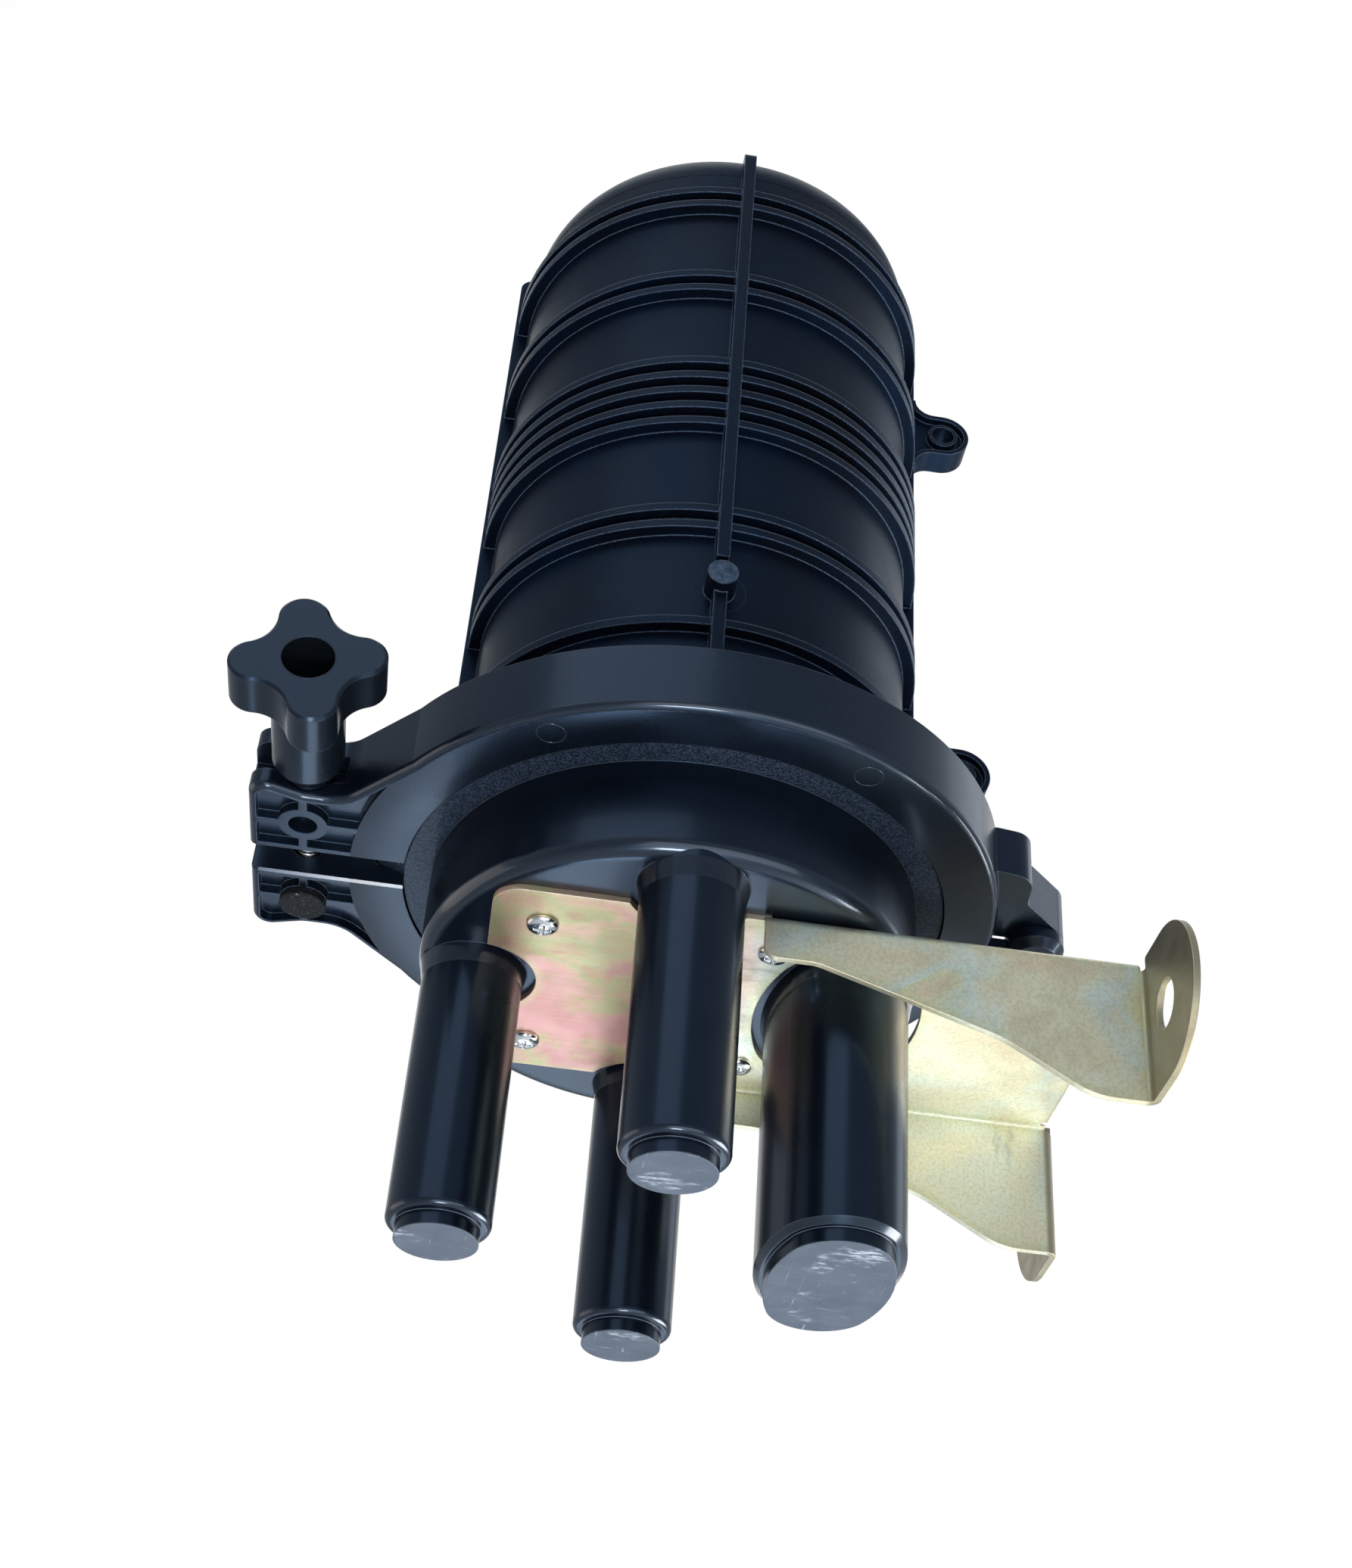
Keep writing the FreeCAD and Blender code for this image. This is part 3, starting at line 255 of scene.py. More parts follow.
def dome_material():
    material, tree, shader = moulded_plastic(
        "dome_moulding",
        dark=(0.0030, 0.0028, 0.0032), light=(0.0014, 0.0046, 0.0130), rough=(0.36, 0.46),
        grain_scale=1500, grain_depth=0.00022,
        edge_highlight=(0.125, 0.165, 0.240), edge_radius=0.0009)
    cool_gloss(shader, 0.27, tint=(0.20, 0.50, 1.0, 1))
    # The gate stub's end is sheared off, so it is paler and torn
    point = object_point(tree)
    up = math_node(tree, "SUBTRACT", part_of(tree, point, "Z"), CLAMP_Z + GATE_HEIGHT)
    across = math_node(tree, "SUBTRACT", part_of(tree, point, "X"), AXIS_X)
    squares = [math_node(tree, "POWER", value, 2) for value in (up, across)]
    reach = math_node(tree, "SQRT", math_node(tree, "ADD", *squares))
    sheared = times(
        tree, remap(tree, reach, 0.0052, 0.0049),
        remap(tree, part_of(tree, point, "Y"), GATE_END_Y + 0.0003, GATE_END_Y))
    torn = ramp(tree, noise_value(tree, point, 420, 4, 0.65), [
        (0.35, (0.020, 0.032, 0.052)), (0.7, (0.075, 0.10, 0.14))])
    plain = shader.inputs["Base Color"].links[0].from_socket
    tree.links.new(mix(tree, sheared, plain, torn), shader.inputs["Base Color"])
    return material


def base_material():
    """Polished moulding with a grained flange and scuffed, sawn port ends."""
    material, tree, shader = node_tree("base_moulding")
    point = object_point(tree)
    height = part_of(tree, point, "Z")
    radius = axis_distance(tree, point, AXIS_X, 0)
    grained = remap(tree, radius, BASE_R + 0.0001, BASE_R + 0.0004)
    capped = remap(tree, height, PORT_END_Z + 0.0006, PORT_END_Z + 0.0001)

    haze = noise_value(tree, point, 16, 5, 0.6, 0.6)
    colour = ramp(tree, haze, [
        (0.3, (0.0016, 0.0026, 0.0050)), (0.75, (0.0034, 0.0050, 0.0086))])
    speckle = ramp(tree, noise_value(tree, point, 1700, 2, 0.5), [
        (0.42, (0.0035, 0.0050, 0.0090)), (0.62, (0.034, 0.044, 0.066))])
    colour = mix(tree, grained, colour, speckle)

    scratches = [
        noise_value(tree, mapped(tree, point, scale, (0, 0, turn)), 1, 2, 0.6, 0.8)
        for scale, turn in (((900, 60, 60), 0.6), ((50, 1100, 50), -0.35))]
    scratch = remap(tree, math_node(tree, "MAXIMUM", *scratches), 0.66, 0.74)
    patch = noise_value(tree, mapped(tree, point, shift=(4, 2, 0)), 52, 3, 0.6)
    streak = noise_value(tree, mapped(tree, point, (160, 620, 160), (0, 0, 0.7)), 1, 4, 0.7)
    scuff = times(tree, remap(tree, patch, 0.56, 0.68), remap(tree, streak, 0.44, 0.62))
    sawn = ramp(tree, noise_value(tree, point, 75, 5, 0.65), [
        (0.3, (0.030, 0.033, 0.040)), (0.7, (0.064, 0.070, 0.082))])
    sawn = mix(tree, scratch, sawn, (0.20, 0.22, 0.26))
    sawn = mix(tree, scuff, sawn, (0.42, 0.45, 0.50))
    colour = mix(tree, capped, colour, sawn)

    # Painted highlight: a pale line on the sharp edges, full at the low port ends and fainter above
    # them
    low = remap(tree, height, PORT_SHOULDER_Z + 0.004, PORT_SHOULDER_Z + 0.002, 0.35, 1.0)
    colour = mix(tree, times(tree, edge_mask(tree, 0.0005), low), colour, (0.20, 0.24, 0.30))
    tree.links.new(colour, shader.inputs["Base Color"])

    rough = remap(tree, haze, 0.25, 0.8, 0.25, 0.34)
    rough = math_node(tree, "MAXIMUM", rough, times(tree, grained, 0.62))
    rough = math_node(tree, "MAXIMUM", rough, times(tree, capped, 0.5))
    tree.links.new(rough, shader.inputs["Roughness"])

    grain = times(tree, noise_value(tree, point, 1100, 3, 0.6), grained)
    ripple = times(tree, noise_value(tree, point, 45, 2), 0.03)
    marks = times(tree, times(tree, scratch, capped), -0.25)
    relief = math_node(tree, "ADD", math_node(tree, "ADD", grain, ripple), marks)
    bump(tree, shader, relief, 0.6, 0.0006, 0.0007)
    cool_gloss(shader, 0.5, 0.12, low_edges=0.7)
    return material


def band_swell(tree, point):
    """Fall of the band's flat faces towards their rim, in units of the grain's depth."""
    radius = axis_distance(tree, point, AXIS_X, 0)
    radius = math_node(tree, "MAXIMUM", radius, BAND_IN_R)
    radius = math_node(tree, "MINIMUM", radius, BAND_OUT_R)
    across = math_node(tree, "SUBTRACT", radius, BAND_IN_R)
    across = math_node(tree, "DIVIDE", across, BAND_OUT_R - BAND_IN_R)
    return times(tree, math_node(tree, "POWER", across, 2), -BAND_FALL)


def clamp_material():
    material, _, shader = moulded_plastic(
        "clamp_moulding",
        dark=(0.0022, 0.0032, 0.0054), light=(0.0040, 0.0066, 0.0118), rough=(0.24, 0.34),
        grain_scale=1900, grain_depth=0.00008,
        edge_highlight=(0.090, 0.115, 0.160), edge_radius=0.0007, swell=band_swell)
    cool_gloss(shader, 0.5, 0.14, low_edges=0.7)
    return material


def knob_material():
    material, _, shader = moulded_plastic(
        "knob_moulding",
        dark=(0.0040, 0.0056, 0.0080), light=(0.0075, 0.0098, 0.0135), rough=(0.26, 0.36),
        grain_scale=2200, grain_depth=0.00006,
        edge_highlight=(0.085, 0.10, 0.125), edge_radius=0.0007)
    cool_gloss(shader, 0.45, 0.12)
    return material


def yellow_zinc_material():
    """Passivated zinc: pale gold with pink and green blooms, rolled grain and a pale line along its
    sharp edges.
    """
    material, tree, shader = node_tree("yellow_zinc")
    point = object_point(tree)
    outward = part_of(tree, point, "X")
    bloom_point = mapped(tree, point, (1, 1, 1.3), shift=(0.3, 0.2, 0))
    bloom = noise_value(tree, bloom_point, 20, 3, 0.5, 0.9)
    cloud = noise_value(tree, mapped(tree, point, shift=(3, 1, 2)), 70, 4, 0.6, 0.6)
    fine = noise_value(tree, point, 900, 3, 0.65)
    rolled = noise_value(tree, mapped(tree, point, (14, 900, 900)), 1, 2, 0.6)
    smudge_point = mapped(tree, point, (1, 1, 0.6), shift=(1, 5, 2))
    smudge = remap(tree, noise_value(tree, smudge_point, 34, 4, 0.65, 0.5), 0.60, 0.74)

    tint = math_node(tree, "ADD", times(tree, bloom, 0.8), times(tree, cloud, 0.2))
    flange = ramp(tree, tint, [
        (0.34, (0.74, 0.61, 0.40)),
        (0.44, (0.74, 0.70, 0.49)),
        (0.52, (0.66, 0.74, 0.66)),
        (0.60, (0.71, 0.70, 0.44)),
        (0.68, (0.74, 0.58, 0.40)),
    ])
    plate = ramp(tree, tint, [
        (0.38, (0.58, 0.23, 0.21)),
        (0.50, (0.60, 0.27, 0.23)),
        (0.545, (0.56, 0.34, 0.20)),
        (0.575, (0.44, 0.40, 0.17)),
        (0.60, (0.54, 0.35, 0.19)),
        (0.66, (0.58, 0.24, 0.22)),
    ])
    near = remap(tree, outward, -0.105, -0.125)
    colour = mix(tree, near, flange, plate)
    # Painted light: the rear flange and web are mixed up to half way towards pale, as if washed out
    # by strong low light
    rear_glare = remap(tree, part_of(tree, point, "Y"), 0.0, 0.03, 0.0, 0.5)
    rear_glare = times(tree, rear_glare, math_node(tree, "SUBTRACT", 1.0, near))
    colour = mix(tree, rear_glare, colour, (0.86, 0.85, 0.70))

    layers = (
        (edge_mask(tree, 0.006, 0.004, 0.16), 0.5, (0.54, 0.60, 0.24)),
        (edge_mask(tree, 0.0022, 0.01, 0.2), 0.5, (0.70, 0.44, 0.34)),
        (rolled, 0.2, (0.78, 0.80, 0.76)),
        (remap(tree, fine, 0.40, 0.66), 0.30, (0.40, 0.36, 0.24)),
        (smudge, 0.55, (0.26, 0.24, 0.19)),
        (remap(tree, outward, TAB_FACE_X - 0.0018, TAB_FACE_X), 0.8, (0.29, 0.24, 0.15)),
        # a pale line along every sharp edge
        (edge_mask(tree, 0.0005), 0.8, (0.84, 0.80, 0.68)),
    )
    for mask, strength, over in layers:
        colour = mix(tree, times(tree, mask, strength), colour, over)
    tree.links.new(colour, shader.inputs["Base Color"])
    shader.inputs["Metallic"].default_value = 0.82
    tree.links.new(remap(tree, cloud, 0.3, 0.7, 0.38, 0.56), shader.inputs["Roughness"])
    relief = math_node(tree, "ADD", times(tree, rolled, 0.6), fine)
    bump(tree, shader, relief, 0.22, 0.0001, 0.0005)
    return material


def bright_metal(name, colour, rough, edge_colour, grain=900):
    material, tree, shader = node_tree(name)
    point = object_point(tree)
    mottle = noise_value(tree, point, grain, 3, 0.6)
    tone = ramp(tree, mottle, [(0.3, tuple(0.8 * c for c in colour)), (0.7, colour)])
    edge = times(tree, edge_mask(tree, 0.0003), 0.6)
    tree.links.new(mix(tree, edge, tone, edge_colour), shader.inputs["Base Color"])
    shader.inputs["Metallic"].default_value = 1.0
    tree.links.new(remap(tree, mottle, 0.3, 0.7, *rough), shader.inputs["Roughness"])
    bump(tree, shader, mottle, 0.15, 0.0001, 0.0002)
    return material


def staked_metal():
    material, tree, shader = node_tree("staked_steel")
    point = object_point(tree)
    crush = noise_value(tree, point, 950, 5, 0.7, 0.5)
    shine = remap(tree, crush, 0.58, 0.72)
    colour = mix(tree, shine, (0.010, 0.011, 0.013), (0.20, 0.21, 0.24))
    tree.links.new(colour, shader.inputs["Base Color"])
    tree.links.new(remap(tree, shine, 0, 1, 0.55, 0.25), shader.inputs["Roughness"])
    shader.inputs["Metallic"].default_value = 0.7
    bump(tree, shader, crush, 1.0, 0.0006)
    return material


def tray_material():
    material, _, shader = moulded_plastic(
        "tray_moulding",
        dark=(0.60, 0.60, 0.58), light=(0.68, 0.68, 0.66), rough=(0.38, 0.5),
        grain_scale=1700, grain_depth=0.00006,
        edge_highlight=(0.8, 0.8, 0.78), edge_radius=0.0004)
    shader.inputs["IOR"].default_value = PLASTIC_IOR
    return material


def lid_material():
    material, tree, shader = node_tree("clear_lid")
    point = object_point(tree)
    haze = noise_value(tree, point, 60, 3)
    tree.links.new(remap(tree, haze, 0.3, 0.7, 0.05, 0.14), shader.inputs["Roughness"])
    shader.inputs["Base Color"].default_value = (0.93, 0.95, 0.96, 1)
    shader.inputs["Transmission Weight"].default_value = 0.92
    shader.inputs["IOR"].default_value = PLASTIC_IOR
    bump(tree, shader, haze, 0.05, 0.0002)
    return material


def strap_material():
    material, tree, shader = node_tree("strap_weave")
    point = object_point(tree)
    threads = []
    for direction in "ZX":
        wave = add(tree, "ShaderNodeTexWave", wave_type="BANDS", bands_direction=direction)
        wave.inputs["Scale"].default_value = 520
        wave.inputs["Distortion"].default_value = 0.6
        tree.links.new(point, wave.inputs["Vector"])
        threads.append(wave.outputs["Fac"])
    weave = times(tree, *threads)
    colour = ramp(tree, weave, [(0, (0.012, 0.012, 0.014)), (1, (0.05, 0.05, 0.055))])
    tree.links.new(colour, shader.inputs["Base Color"])
    shader.inputs["Roughness"].default_value = 0.85
    shader.inputs["Sheen Weight"].default_value = 0.4
    bump(tree, shader, weave, 0.6, 0.0003)
    return material


def rubber_material():
    material, tree, shader = node_tree("seal_rubber")
    point = object_point(tree)
    dust = noise_value(tree, point, 300, 4)
    colour = ramp(tree, dust, [(0.3, (0.012, 0.012, 0.012)), (0.7, (0.03, 0.03, 0.03))])
    tree.links.new(colour, shader.inputs["Base Color"])
    tree.links.new(remap(tree, dust, 0.3, 0.7, 0.5, 0.7), shader.inputs["Roughness"])
    bump(tree, shader, dust, 0.2, 0.0001)
    return material


# Pieces made here

def mesh_object(name, bm):
    mesh = bpy.data.meshes.new(name)
    bm.normal_update()
    bm.to_mesh(mesh)
    bm.free()
    piece = bpy.data.objects.new(name, mesh)
    bpy.context.scene.collection.objects.link(piece)
    return piece


def shade(piece, material, smooth=True):
    piece.data.materials.clear()
    piece.data.materials.append(material)
    for face in piece.data.polygons:
        face.use_smooth = smooth
    return piece


def staked_end(name, z, outward, radius):
    """Crushed end of the barrel nut: a disc with lumps and a sunk rim."""
    bm = bmesh.new()
    rings = 18
    steps = 72
    rows = []
    for i in range(rings + 1):
        row = []
        for j in range(steps if i else 1):
            angle = 2 * math.pi * j / steps
            seed = Vector((math.cos(angle) * 2, math.sin(angle) * 2, z * 50))
            r = radius * i / rings * (1 + 0.03 * noise.noise(seed))
            x = r * math.cos(angle)
            y = r * math.sin(angle)
            lump = noise.fractal(Vector((x, y, z)) * 900, 0.8, 2.0, 4)
            rise = 0.00035 + 0.00028 * lump if i < rings else -0.0002
            row.append(bm.verts.new((STUD_X + x, NUT_Y + y, z + outward * rise)))
        rows.append(row)
    for i in range(rings):
        inner, outer = rows[i], rows[i + 1]
        for j in range(steps):
            k = (j + 1) % steps
            if i == 0:
                corners = [inner[0], outer[j], outer[k]]
            else:
                corners = [inner[j], outer[j], outer[k], inner[k]]
            if outward < 0:
                corners.reverse()
            bm.faces.new(corners)
    return mesh_object(name, bm)


def bolt_thread():
    """Helical ridge on the knob's bolt: shallow on the shank, deep on the thinner tip."""
    bm = bmesh.new()
    pitch = 0.00125
    start, end, tip = -0.005, 0.0235, 0.0058
    per_turn = 28
    fade_in = 20
    steps = int((end - start) / pitch * per_turn)
    profile = [(-0.5, 0), (-0.12, 1), (0.12, 1), (0.5, 0)]
    rows = []
    for i in range(steps + 1):
        angle = 2 * math.pi * i / per_turn
        y = start + pitch * i / per_turn
        fade = min(1.0, i / fade_in, (steps - i) / fade_in)
        root, depth = (0.00399, 0.0003) if y < tip else (0.00318, 0.0008)
        row = []
        for along, height in profile:
            r = root + height * depth * fade
            row.append(bm.verts.new((
                STUD_X + r * math.cos(angle),
                y + along * pitch * 0.96,
                STUD_Z + r * math.sin(angle))))
        rows.append(row)
    for i in range(steps):
        for j in range(len(profile) - 1):
            bm.faces.new([rows[i][j], rows[i][j + 1], rows[i + 1][j + 1], rows[i + 1][j]])
    bmesh.ops.recalc_face_normals(bm, faces=bm.faces)
    return mesh_object("bolt_thread", bm)


def join_round(bm, rows):
    """Faces between rows of vertices that stand in a closed ring."""
    for row, following in zip(rows, rows[1:] + rows[:1]):
        for j in range(len(row) - 1):
            bm.faces.new([row[j], following[j], following[j + 1], row[j + 1]])


def witness_ring(name, centre, radius, width, rise, place):
    """Raised ring on a face; place maps (u, v, height) to a point of that face."""
    bm = bmesh.new()
    steps = 64
    profile = [(-0.5, -0.2), (-0.25, 1.0), (0.25, 1.0), (0.5, -0.2)]
    rows = []
    for i in range(steps):
        angle = 2 * math.pi * i / steps
        row = []
        for across, up in profile:
            r = radius + across * width
            u = centre[0] + r * math.cos(angle)
            v = centre[1] + r * math.sin(angle)
            row.append(bm.verts.new(place(u, v, up * rise)))
        rows.append(row)
    join_round(bm, rows)
    bmesh.ops.recalc_face_normals(bm, faces=bm.faces)
    return mesh_object(name, bm)


def lathe(name, x, y, profile, steps):
    """Skin of revolution about a line along Z, from (radius, z) points."""
    bm = bmesh.new()
    rows = []
    for i in range(steps):
        angle = 2 * math.pi * i / steps
        rows.append([
            bm.verts.new((x + r * math.cos(angle), y + r * math.sin(angle), z))
            for r, z in profile])
    join_round(bm, rows)
    bmesh.ops.remove_doubles(bm, verts=bm.verts, dist=1e-7)
    bmesh.ops.recalc_face_normals(bm, faces=bm.faces)
    return mesh_object(name, bm)


def corner_profile(centre_r, centre_z, radius, start, end, steps=10):
    """Points of a rounding, from one angle to another, in degrees from straight outward."""
    points = []
    for i in range(steps + 1):
        angle = math.radians(start + (end - start) * i / steps)
        points.append((centre_r + radius * math.cos(angle), centre_z + radius * math.sin(angle)))
    return points


def cross_cutter(name, x, y, top, low):
    """Two crossed wedges that are cut out of a screw head."""
    bm = bmesh.new()
    long_half, short_half, taper = 0.0027, 0.00065, 0.72
    sides = ((0, 1, 2, 3), (7, 6, 5, 4), (0, 4, 5, 1), (1, 5, 6, 2), (2, 6, 7, 3), (3, 7, 4, 0))
    for half_u, half_v in ((long_half, short_half), (short_half, long_half)):
        corners = []
        for z, draw in ((top, 1.0), (low, taper)):
            for su, sv in ((-1, -1), (1, -1), (1, 1), (-1, 1)):
                corners.append(bm.verts.new((x + su * half_u * draw, y + sv * half_v * draw, z)))
        for side in sides:
            bm.faces.new([corners[k] for k in side])
    bmesh.ops.recalc_face_normals(bm, faces=bm.faces)
    return mesh_object(name, bm)


def pan_head(name, x, y):
    """Domed screw head with a cross recess, and its shank, seated on the bracket."""
    shank, shank_end = 0.0025, SEAT_Z + 0.011
    profile = [(0, shank_end), (shank - 0.0004, shank_end), (shank, shank_end - 0.0005)]
    profile += [(shank, SEAT_Z), (SCREW_HEAD_R - 0.0001, SEAT_Z), (SCREW_HEAD_R, SEAT_Z - 0.0001)]
    for i in range(10):
        angle = math.pi / 2 * i / 10
        rise = 0.0006 + 0.0021 * math.sin(angle)
        profile.append((SCREW_HEAD_R * math.cos(angle), SEAT_Z - rise))
    profile.append((0, SEAT_Z - 0.0027))
    head = lathe(name, x, y, profile, 48)
    cross = cross_cutter(name + "_cross", x, y, SEAT_Z - 0.0036, SEAT_Z - 0.0012)
    cut = head.modifiers.new("recess", "BOOLEAN")
    cut.operation = "DIFFERENCE"
    cut.solver = "EXACT"
    cut.use_self = True
    cut.object = cross
    evaluated = head.evaluated_get(bpy.context.evaluated_depsgraph_get())
    shaped = bpy.data.meshes.new_from_object(evaluated)
    head.modifiers.clear()
    head.data = shaped
    bpy.data.objects.remove(cross)
    return head


def on_clamp_face(u, v, height):
    return (AXIS_X + u, v, CLAMP_Z - height)


def on_knob_face(u, v, height):
    return (STUD_X + u, KNOB_FACE_Y - height, STUD_Z + v)


def on_dome_front(u, v, height):
    radius = DOME_FRONT_R + height
    angle = u / DOME_FRONT_R
    return (AXIS_X + radius * math.sin(angle), -radius * math.cos(angle), CLAMP_Z + v)


# Dress the CAD nodes

dome_finish = dome_material()
base_finish = base_material()
clamp_finish = clamp_material()
knob_finish = knob_material()
zinc_finish = yellow_zinc_material()
screw_finish = bright_metal("bright_screw", (0.82, 0.82, 0.80), (0.10, 0.24), (0.95, 0.95, 0.93))
pin_finish = bright_metal("drawn_pin", (0.62, 0.62, 0.61), (0.2, 0.35), (0.8, 0.8, 0.8))
bolt_finish = bright_metal("plated_bolt", (0.60, 0.61, 0.62), (0.22, 0.36), (0.8, 0.8, 0.8))
nut_finish = staked_metal()
tray_finish = tray_material()
frame_finish = bright_metal("frame_sheet", (0.70, 0.70, 0.70), (0.3, 0.45), (0.85, 0.85, 0.85), 200)
lid_finish = lid_material()
strap_finish = strap_material()
rubber_finish = rubber_material()

finishes = {
    "dome": dome_finish,
    "base": base_finish,
    "seal_ring": rubber_finish,
    "clamp_front": clamp_finish,
    "clamp_rear": clamp_finish,
    "hinge_pin": pin_finish,
    "knob": knob_finish,
    "knob_bolt": bolt_finish,
    "knob_washer": bolt_finish,
    "barrel_nut": nut_finish,
    "mount_bracket": zinc_finish,
    "bracket_screws": screw_finish,
    "tray_frame": frame_finish,
    "frame_screws": bolt_finish,
    "tray_holder": tray_finish,
    "tray_cover": lid_finish,
    "tray_strap": strap_finish,
    "storage_basket": tray_finish,
    "basket_screws": bolt_finish,
    "strength_anchor_front": frame_finish,
    "strength_anchor_rear": frame_finish,
    "anchor_screws": bolt_finish,
}
for index in range(1, 6):
    finishes["splice_tray_%d" % index] = tray_finish

for name, finish in finishes.items():
    node = bpy.data.objects[name]
    if not node.material_slots:
        node.data.materials.append(finish)
    for place in node.material_slots:
        place.material = finish

# Small pieces that the solids leave plain

for name, z, outward, radius in (
        ("nut_staking_low", NUT_LOW_Z, -1, 0.0074),
        ("nut_staking_high", NUT_HIGH_Z, 1, 0.0062)):
    piece = shade(staked_end(name, z, outward, radius), nut_finish)
    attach(piece, "housing")

thread = shade(bolt_thread(), bolt_finish)
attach(thread, "closing_knob")

for name, x, y, body in (
        ("witness_front_left", -WITNESS_X, -WITNESS_Y, "front_clamp"),
        ("witness_front_right", WITNESS_X, -WITNESS_Y, "front_clamp"),
        ("witness_rear_left", -WITNESS_X, WITNESS_Y, "housing"),
        ("witness_rear_right", WITNESS_X, WITNESS_Y, "housing")):
    ring = witness_ring(
        name, (x, y), radius=0.0042, width=0.0005, rise=0.00012, place=on_clamp_face)
    shade(ring, clamp_finish)
    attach(ring, body)

gate_ring = witness_ring(
    "gate_witness", (0, GATE_HEIGHT),
    radius=0.0084, width=0.0006, rise=0.00012, place=on_dome_front)
shade(gate_ring, dome_finish)
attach(gate_ring, "housing")

well_lip = witness_ring(
    "well_lip", (0, 0), radius=WELL_LIP_R, width=0.0005, rise=0.00015, place=on_knob_face)
shade(well_lip, knob_finish)
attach(well_lip, "closing_knob")

base_edge = [(BASE_R + PROUD, BASE_FACE_Z + 0.0056)]
base_edge += corner_profile(
    BASE_R - BASE_ROUNDING, BASE_FACE_Z + BASE_ROUNDING, BASE_ROUNDING + PROUD, 0, -90)
base_edge += [(BASE_R - 0.0056, BASE_FACE_Z - PROUD)]
dome_edge = [(DOME_R + PROUD, DOME_TOP_Z - 0.021)]
dome_edge += corner_profile(
    DOME_R - DOME_ROUNDING, DOME_TOP_Z - DOME_ROUNDING, DOME_ROUNDING + PROUD, 0, 90, 20)
dome_edge += [(DOME_R - 0.024, DOME_TOP_Z + PROUD / 2)]
port_edge = corner_profile(
    PORT_R - PORT_ROUNDING, PORT_SHOULDER_Z + PORT_ROUNDING, PORT_ROUNDING + PROUD, 0, -90, 8)
roundings = [
    ("base_edge", 0, 0, base_edge, 256, base_finish, "base_plastic"),
    ("dome_crown", 0, 0, dome_edge, 192, dome_finish, "dome_plastic"),
]
for name, x, y in (
        ("port_edge_front", 0, -PORT_CIRCLE_R),
        ("port_edge_left", -PORT_CIRCLE_R, 0),
        ("port_edge_rear", 0, PORT_CIRCLE_R)):
    roundings.append((name, x, y, port_edge, 72, base_finish, "base_plastic"))
for name, x, y, profile, steps, finish, slot in roundings:
    skin = shade(lathe(name, AXIS_X + x, y, profile, steps), finish)
    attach(skin, "housing")

for name, x, y in (
        ("screw_head_1", SCREW_LEFT_X, -SCREW_Y),
        ("screw_head_2", SCREW_LEFT_X, SCREW_Y),
        ("screw_head_3", SCREW_RIGHT_X, -SCREW_Y),
        ("screw_head_4", SCREW_RIGHT_X, SCREW_Y)):
    head = shade(pan_head(name, AXIS_X + x, y), screw_finish)
    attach(head, "housing")
    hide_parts("bracket_screws")


# Camera, from the measured photograph

camera_data = bpy.data.cameras.new("camera")
camera_data.sensor_width = SENSOR
camera_data.lens = FOCAL_LENGTH * SENSOR / PHOTO_HEIGHT
camera_data.shift_x = -(OPTICAL_CENTRE[0] - PHOTO_WIDTH / 2) / PHOTO_HEIGHT
camera_data.shift_y = (OPTICAL_CENTRE[1] - PHOTO_HEIGHT / 2) / PHOTO_HEIGHT
camera_data.clip_end = 50
camera = bpy.data.objects.new("camera", camera_data)
bpy.context.scene.collection.objects.link(camera)
right = Vector((0.9881, -0.1413, 0.0607))
down = Vector((0.1306, 0.5628, -0.8162))
ahead = Vector((0.0812, 0.8144, 0.5746))
turn = Matrix((right, -down, -ahead)).transposed().to_4x4()
camera.matrix_world = Matrix.Translation((-0.1896, -0.5652, -0.3252)) @ turn
bpy.context.scene.camera = camera


# Floor, world and lamps

def pale_surface(name):
    material, _, shader = node_tree(name)
    shader.inputs["Base Color"].default_value = (0.80, 0.82, 0.84, 1)
    shader.inputs["Roughness"].default_value = 0.7
    return material


def white_backdrop(name, clear, edge):
    """White where it is seen, directly or in gloss or glass; fades out from clear to edge."""
    material, tree, shader = node_tree(name)
    shader.inputs["Base Color"].default_value = (0.82, 0.82, 0.82, 1)
    shader.inputs["Roughness"].default_value = 0.7
    glow = add(tree, "ShaderNodeEmission")
    glow.inputs["Strength"].default_value = 1.0
    path = add(tree, "ShaderNodeLightPath")
    seen = path.outputs["Is Camera Ray"]
    for ray in ("Is Glossy Ray", "Is Transmission Ray"):
        seen = math_node(tree, "MAXIMUM", seen, path.outputs[ray])
    white = add(tree, "ShaderNodeMixShader")
    tree.links.new(seen, white.inputs["Fac"])
    tree.links.new(shader.outputs[0], white.inputs[1])
    tree.links.new(glow.outputs[0], white.inputs[2])
    reach = add(tree, "ShaderNodeVectorMath", operation="LENGTH")
    tree.links.new(object_point(tree), reach.inputs[0])
    fade = remap(tree, reach.outputs["Value"], clear, edge)
    faded = add(tree, "ShaderNodeMixShader")
    tree.links.new(fade, faded.inputs["Fac"])
    tree.links.new(white.outputs[0], faded.inputs[1])
    tree.links.new(add(tree, "ShaderNodeBsdfTransparent").outputs[0], faded.inputs[2])
    tree.links.new(faded.outputs[0], tree.nodes["Material Output"].inputs["Surface"])
    return material


FLOOR_Z = -1.5
BACKDROP_R = 2.35
BACKDROP_DISTANCE = 3.9             # from the camera, along its axis

bm = bmesh.new()
bmesh.ops.create_grid(bm, x_segments=8, y_segments=8, size=6.0)
floor = mesh_object("floor", bm)
floor.location = (AXIS_X, 0, FLOOR_Z)
shade(floor, pale_surface("pale_floor"), False)

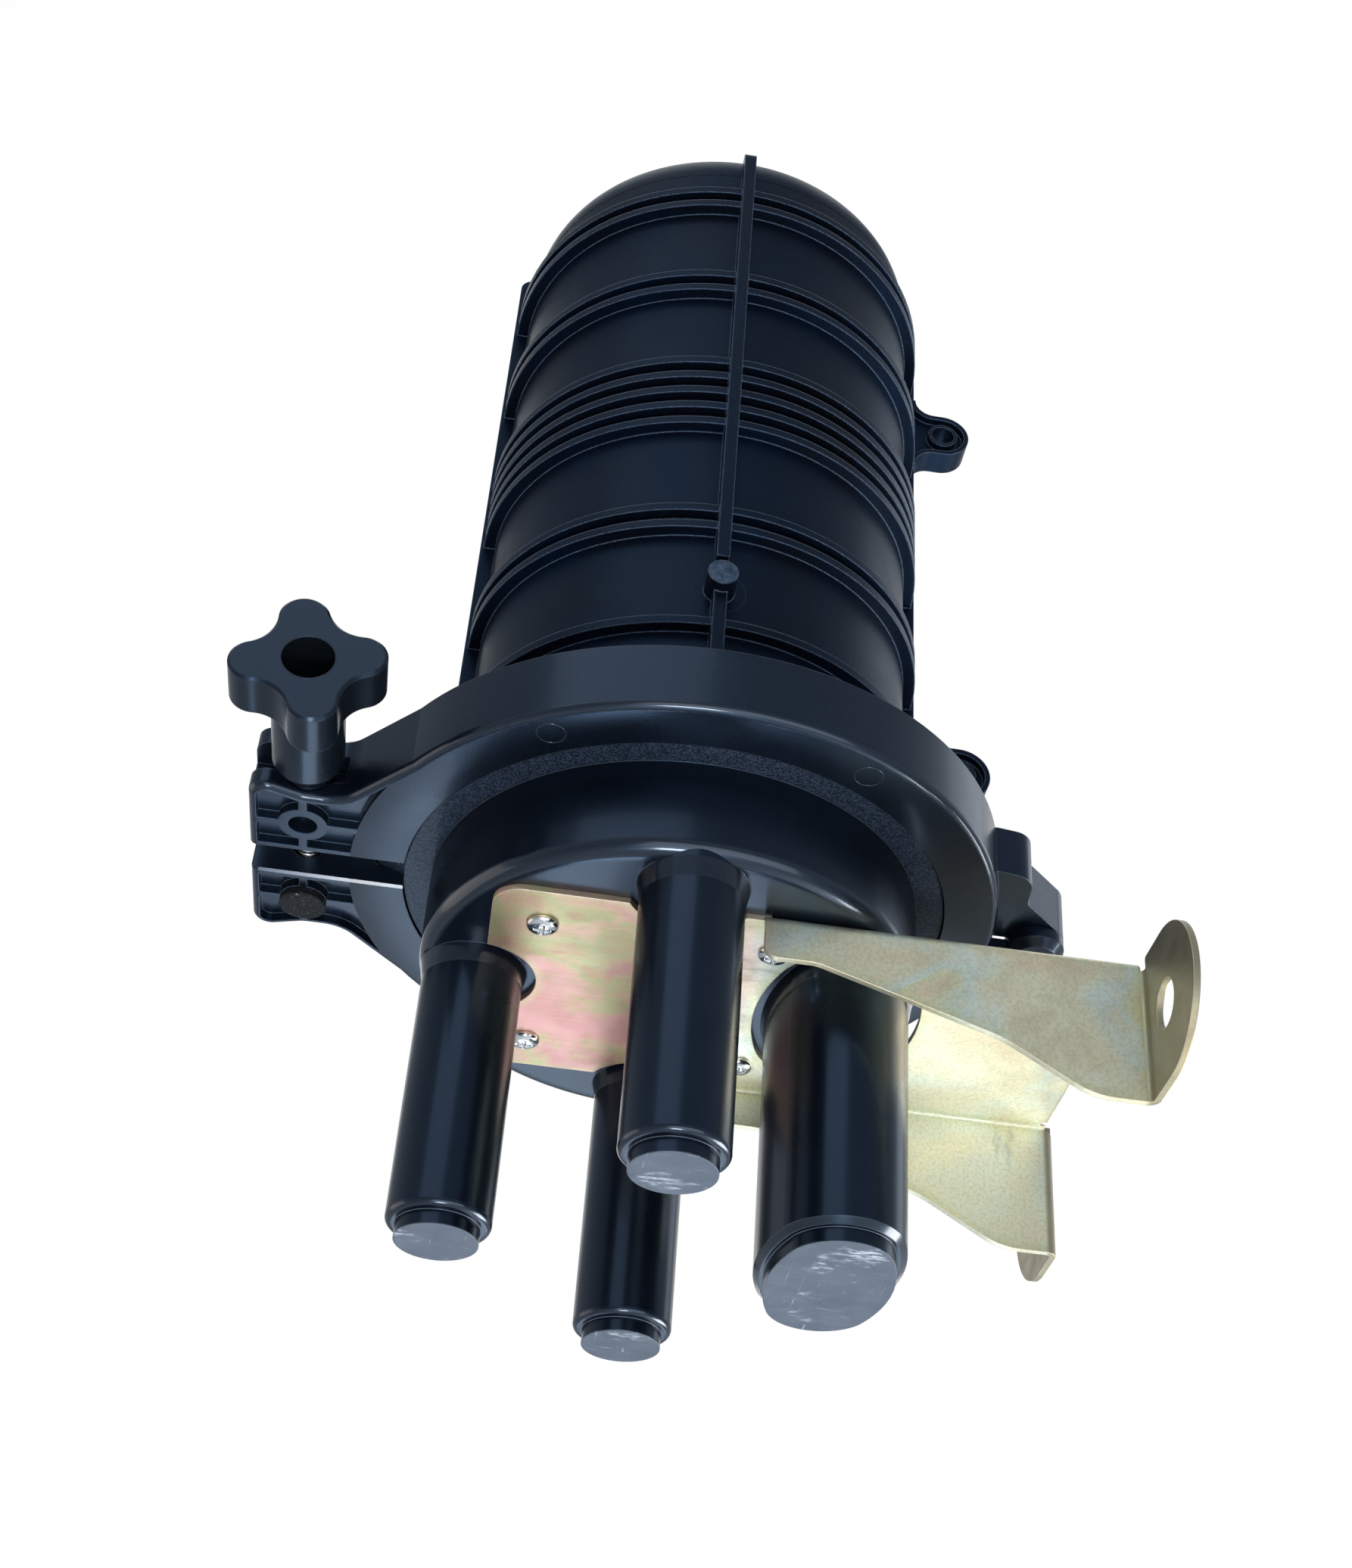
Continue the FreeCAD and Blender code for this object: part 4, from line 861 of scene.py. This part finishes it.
bm = bmesh.new()
bmesh.ops.create_circle(bm, cap_ends=True, segments=96, radius=BACKDROP_R)
backdrop = mesh_object("backdrop", bm)
centre = camera.matrix_world.translation + BACKDROP_DISTANCE * ahead
backdrop.matrix_world = Matrix.Translation(centre) @ turn
shade(backdrop, white_backdrop("white_backdrop", BACKDROP_R - 0.4, BACKDROP_R - 0.03), False)

world = bpy.data.worlds.new("studio")
bpy.context.scene.world = world
world.use_nodes = True
light = world.node_tree.nodes["Background"]
light.inputs["Color"].default_value = (0.78, 0.88, 1.0, 1)
light.inputs["Strength"].default_value = 0.42


def area_light(name, place, target, size, power, colour):
    data = bpy.data.lights.new(name, "AREA")
    data.shape = "RECTANGLE"
    data.size = size[0]
    data.size_y = size[1]
    data.energy = power
    data.color = colour
    lamp = bpy.data.objects.new(name, data)
    lamp.location = place
    aim = Vector(target) - Vector(place)
    lamp.rotation_euler = aim.to_track_quat("-Z", "Y").to_euler()
    bpy.context.scene.collection.objects.link(lamp)


lamp_target = (AXIS_X, 0, 0.1)
for name, place, size, power, colour in (
        ("sky_low_back", (0.0, 1.60, -1.10), (0.9, 0.7), 5.5, (0.74, 0.87, 1.0)),
        ("ground_sheen", (-0.16, 0.95, -1.36), (0.7, 0.45), 5.5, (0.74, 0.87, 1.0)),
        ("low_right", (1.35, 0.55, -1.15), (1.0, 1.0), 40, (1.0, 0.98, 0.94)),
        ("key_low", (-0.2, -0.95, -1.2), (0.40, 0.22), 9, (0.95, 0.98, 1.0)),
        ("front_top", (-0.8, -1.4, 1.2), (1.5, 1.3), 6.5, (0.86, 0.93, 1.0)),
        ("wall_left", (-1.8, 0.3, -0.2), (1.2, 1.4), 5, (1.0, 0.82, 0.68)),
        ("sky_front", (0.3, -1.7, -0.9), (2.4, 1.2), 15, (0.90, 0.95, 1.0)),
        ("sky_top", (-0.2, 0.4, 1.9), (1.6, 1.6), 7, (0.94, 0.97, 1.0)),
        ("right_back", (1.5, 0.7, 1.2), (0.8, 1.4), 4, (0.86, 0.93, 1.0))):
    area_light(name, place, lamp_target, size, power, colour)

bpy.context.scene.view_settings.view_transform = "Standard"
